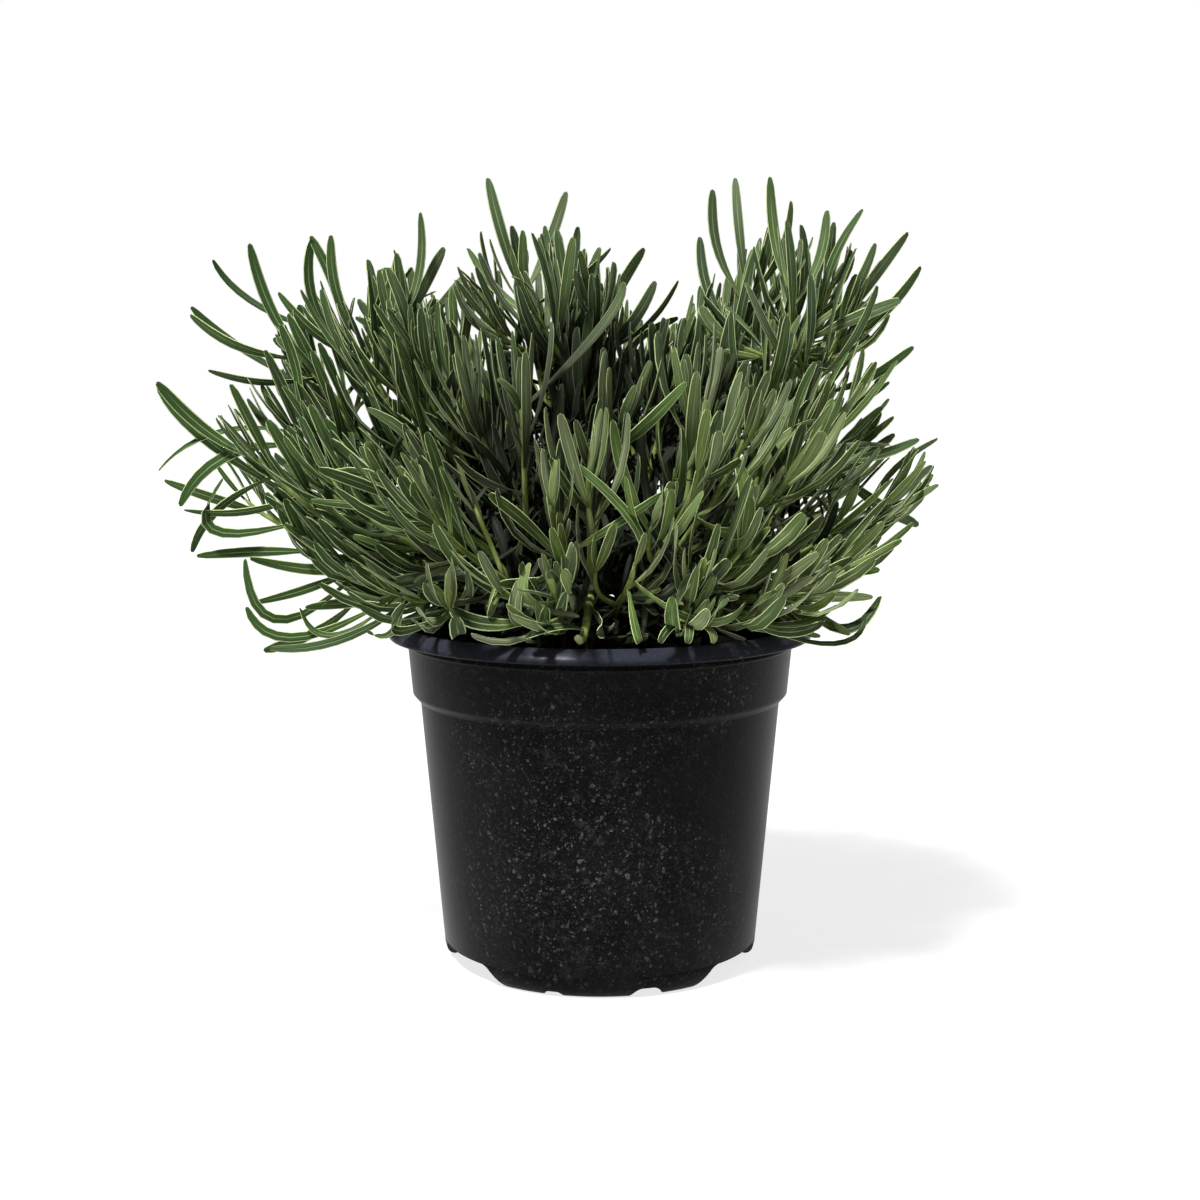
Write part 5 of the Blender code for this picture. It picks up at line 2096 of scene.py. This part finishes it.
@dataclass
class SoilBed:
    """The root ball, with a crumbly top.

    Attributes:
        top: Height of the soil.
        radius: Radius of its top.
        flat_radius: Radius inside which the top is flat; it rounds off from there.
        edge_width: Over how much of the radius it rounds off.
        edge_drop: How much lower the top is at its edge.
        clods: How many crumbs lie on it.
    """

    top: float = 140 * MM
    radius: float = 84.2 * MM
    flat_radius: float = 72 * MM
    edge_width: float = 12 * MM
    edge_drop: float = 2.5 * MM
    clods: int = 160
    SEED = 3

    def build(self) -> None:
        """Gives the CAD's soil its finish and adds crumbs that lie on it."""
        material = SoilFinish().build()
        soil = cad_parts["potting_soil"]
        soil.data.materials.clear()
        soil.data.materials.append(material)
        clod = primitive(bpy.ops.mesh.primitive_ico_sphere_add, subdivisions=1, radius=1)
        points = np.array([tuple(vert.co) for vert in clod.data.vertices])
        faces = [list(face.vertices) for face in clod.data.polygons]
        bpy.data.objects.remove(clod)
        rng = random.Random(self.SEED)
        all_points = []
        all_faces = []
        for index in range(self.clods):
            all_points.append(self.laid(points, rng))
            all_faces.extend([corner + index * len(points) for corner in face] for face in faces)
        crumbs = mesh_object("soil_crumbs", np.vstack(all_points), all_faces, [material])
        finish_piece(crumbs, "soil_crumbs")

    def laid(self, points: np.ndarray, rng: Rng) -> np.ndarray:
        """The points of one crumb of uneven shape, lying somewhere on the soil.

        Args:
            points: The points of a round crumb of radius 1.
            rng: Where its place, size and shape come from.

        Returns:
            Its points.
        """
        angle = rng.uniform(0, math.tau)
        reach = self.radius * math.sqrt(rng.random()) * 0.95
        size = rng.uniform(1.2, 3.6) * MM
        squash = np.array([rng.uniform(0.7, 1.3), rng.uniform(0.7, 1.3), rng.uniform(0.4, 0.8)])
        jitter = np.array([[rng.uniform(0.75, 1.25)] for _ in points])
        drop = self.edge_drop * max(0.0, reach - self.flat_radius) / self.edge_width
        height = self.top - drop + size * 0.15
        place = np.array([reach * math.cos(angle), reach * math.sin(angle), height])
        return points * jitter * squash * size + place


# ------------ studio


@dataclass
class Studio:
    """The floor, the soft light and the camera.

    Attributes:
        camera_distance: Distance from the pot's axis to the camera along Y.
        camera_height: The camera's height.
        pitch: How far the camera looks down, in radians.
        lens: Focal length in millimetres on a 36 mm sensor.
        ambient: Strength of the light that comes from all sides.
    """

    camera_distance: float = 0.8149
    camera_height: float = 0.2608
    pitch: float = 0.1205
    lens: float = 54.56
    ambient: float = 0.14

    def build(self) -> None:
        """Sets up the whole studio."""
        self.floor()
        self.sun((-0.54, -0.66, 1.6), 5.5, 9)
        self.sun((0.9, 0.9, 1.2), 0.5, 40)
        self.surround()
        bpy.context.scene.view_settings.view_transform = "Standard"
        self.camera()

    def floor(self) -> None:
        """Adds the floor."""
        floor = primitive(bpy.ops.mesh.primitive_plane_add, size=12, location=(0, 0, 0))
        floor.name = "floor"
        floor.data.materials.append(FloorFinish().build())
        floor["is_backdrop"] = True

    def sun(self, place: Sequence[float], power: float, spread: float) -> None:
        """Adds a wide, distant lamp.

        Args:
            place: The direction it shines from.
            power: Its strength.
            spread: How wide it looks from the plant, in degrees, which softens its shadows.
        """
        lamp = bpy.data.lights.new("lamp", "SUN")
        lamp.energy = power
        lamp.angle = math.radians(spread)
        obj = bpy.data.objects.new("lamp", lamp)
        obj.location = place
        obj.rotation_euler = Vector(place).to_track_quat("Z", "Y").to_euler()
        bpy.context.scene.collection.objects.link(obj)

    def surround(self) -> None:
        """Surrounds the plant with dim even light in front of a white background."""
        world = bpy.data.worlds.new("studio")
        world.use_nodes = True
        tree = world.node_tree
        light = tree.nodes["Background"]
        light.inputs["Color"].default_value = (1, 1, 1, 1)
        light.inputs["Strength"].default_value = self.ambient
        backdrop = tree.nodes.new("ShaderNodeBackground")
        backdrop.inputs["Color"].default_value = (1, 1, 1, 1)
        sight = tree.nodes.new("ShaderNodeLightPath")
        mix = tree.nodes.new("ShaderNodeMixShader")
        tree.links.new(sight.outputs["Is Camera Ray"], mix.inputs[0])
        tree.links.new(light.outputs[0], mix.inputs[1])
        tree.links.new(backdrop.outputs[0], mix.inputs[2])
        tree.links.new(mix.outputs[0], tree.nodes["World Output"].inputs["Surface"])
        bpy.context.scene.world = world

    def camera(self) -> None:
        """Adds the camera."""
        data = bpy.data.cameras.new("camera")
        data.lens = self.lens
        data.sensor_width = 36
        camera = bpy.data.objects.new("camera", data)
        camera.location = (0, -self.camera_distance, self.camera_height)
        camera.rotation_euler = (math.pi / 2 - self.pitch, 0, 0)
        bpy.context.scene.collection.objects.link(camera)
        bpy.context.scene.camera = camera


def write_sizes() -> None:
    """Works out the CAD's box and the finished model's box, but writes neither anywhere."""
    boxes = {"cad": CAD_BOX, "visual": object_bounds()}
    plain = {name: [list(map(float, corner)) for corner in box] for name, box in boxes.items()}


def main() -> None:
    """Builds the pot, the soil, the plant and the studio."""
    logging.basicConfig(level=logging.INFO, format="%(name)s: %(message)s")
    NurseryPot().build()
    SoilBed().build()
    plant = LavenderPlant()
    plant.grow()
    plant.build(plant_materials())
    Studio().build()
    write_sizes()


if __name__ == "__main__":
    main()
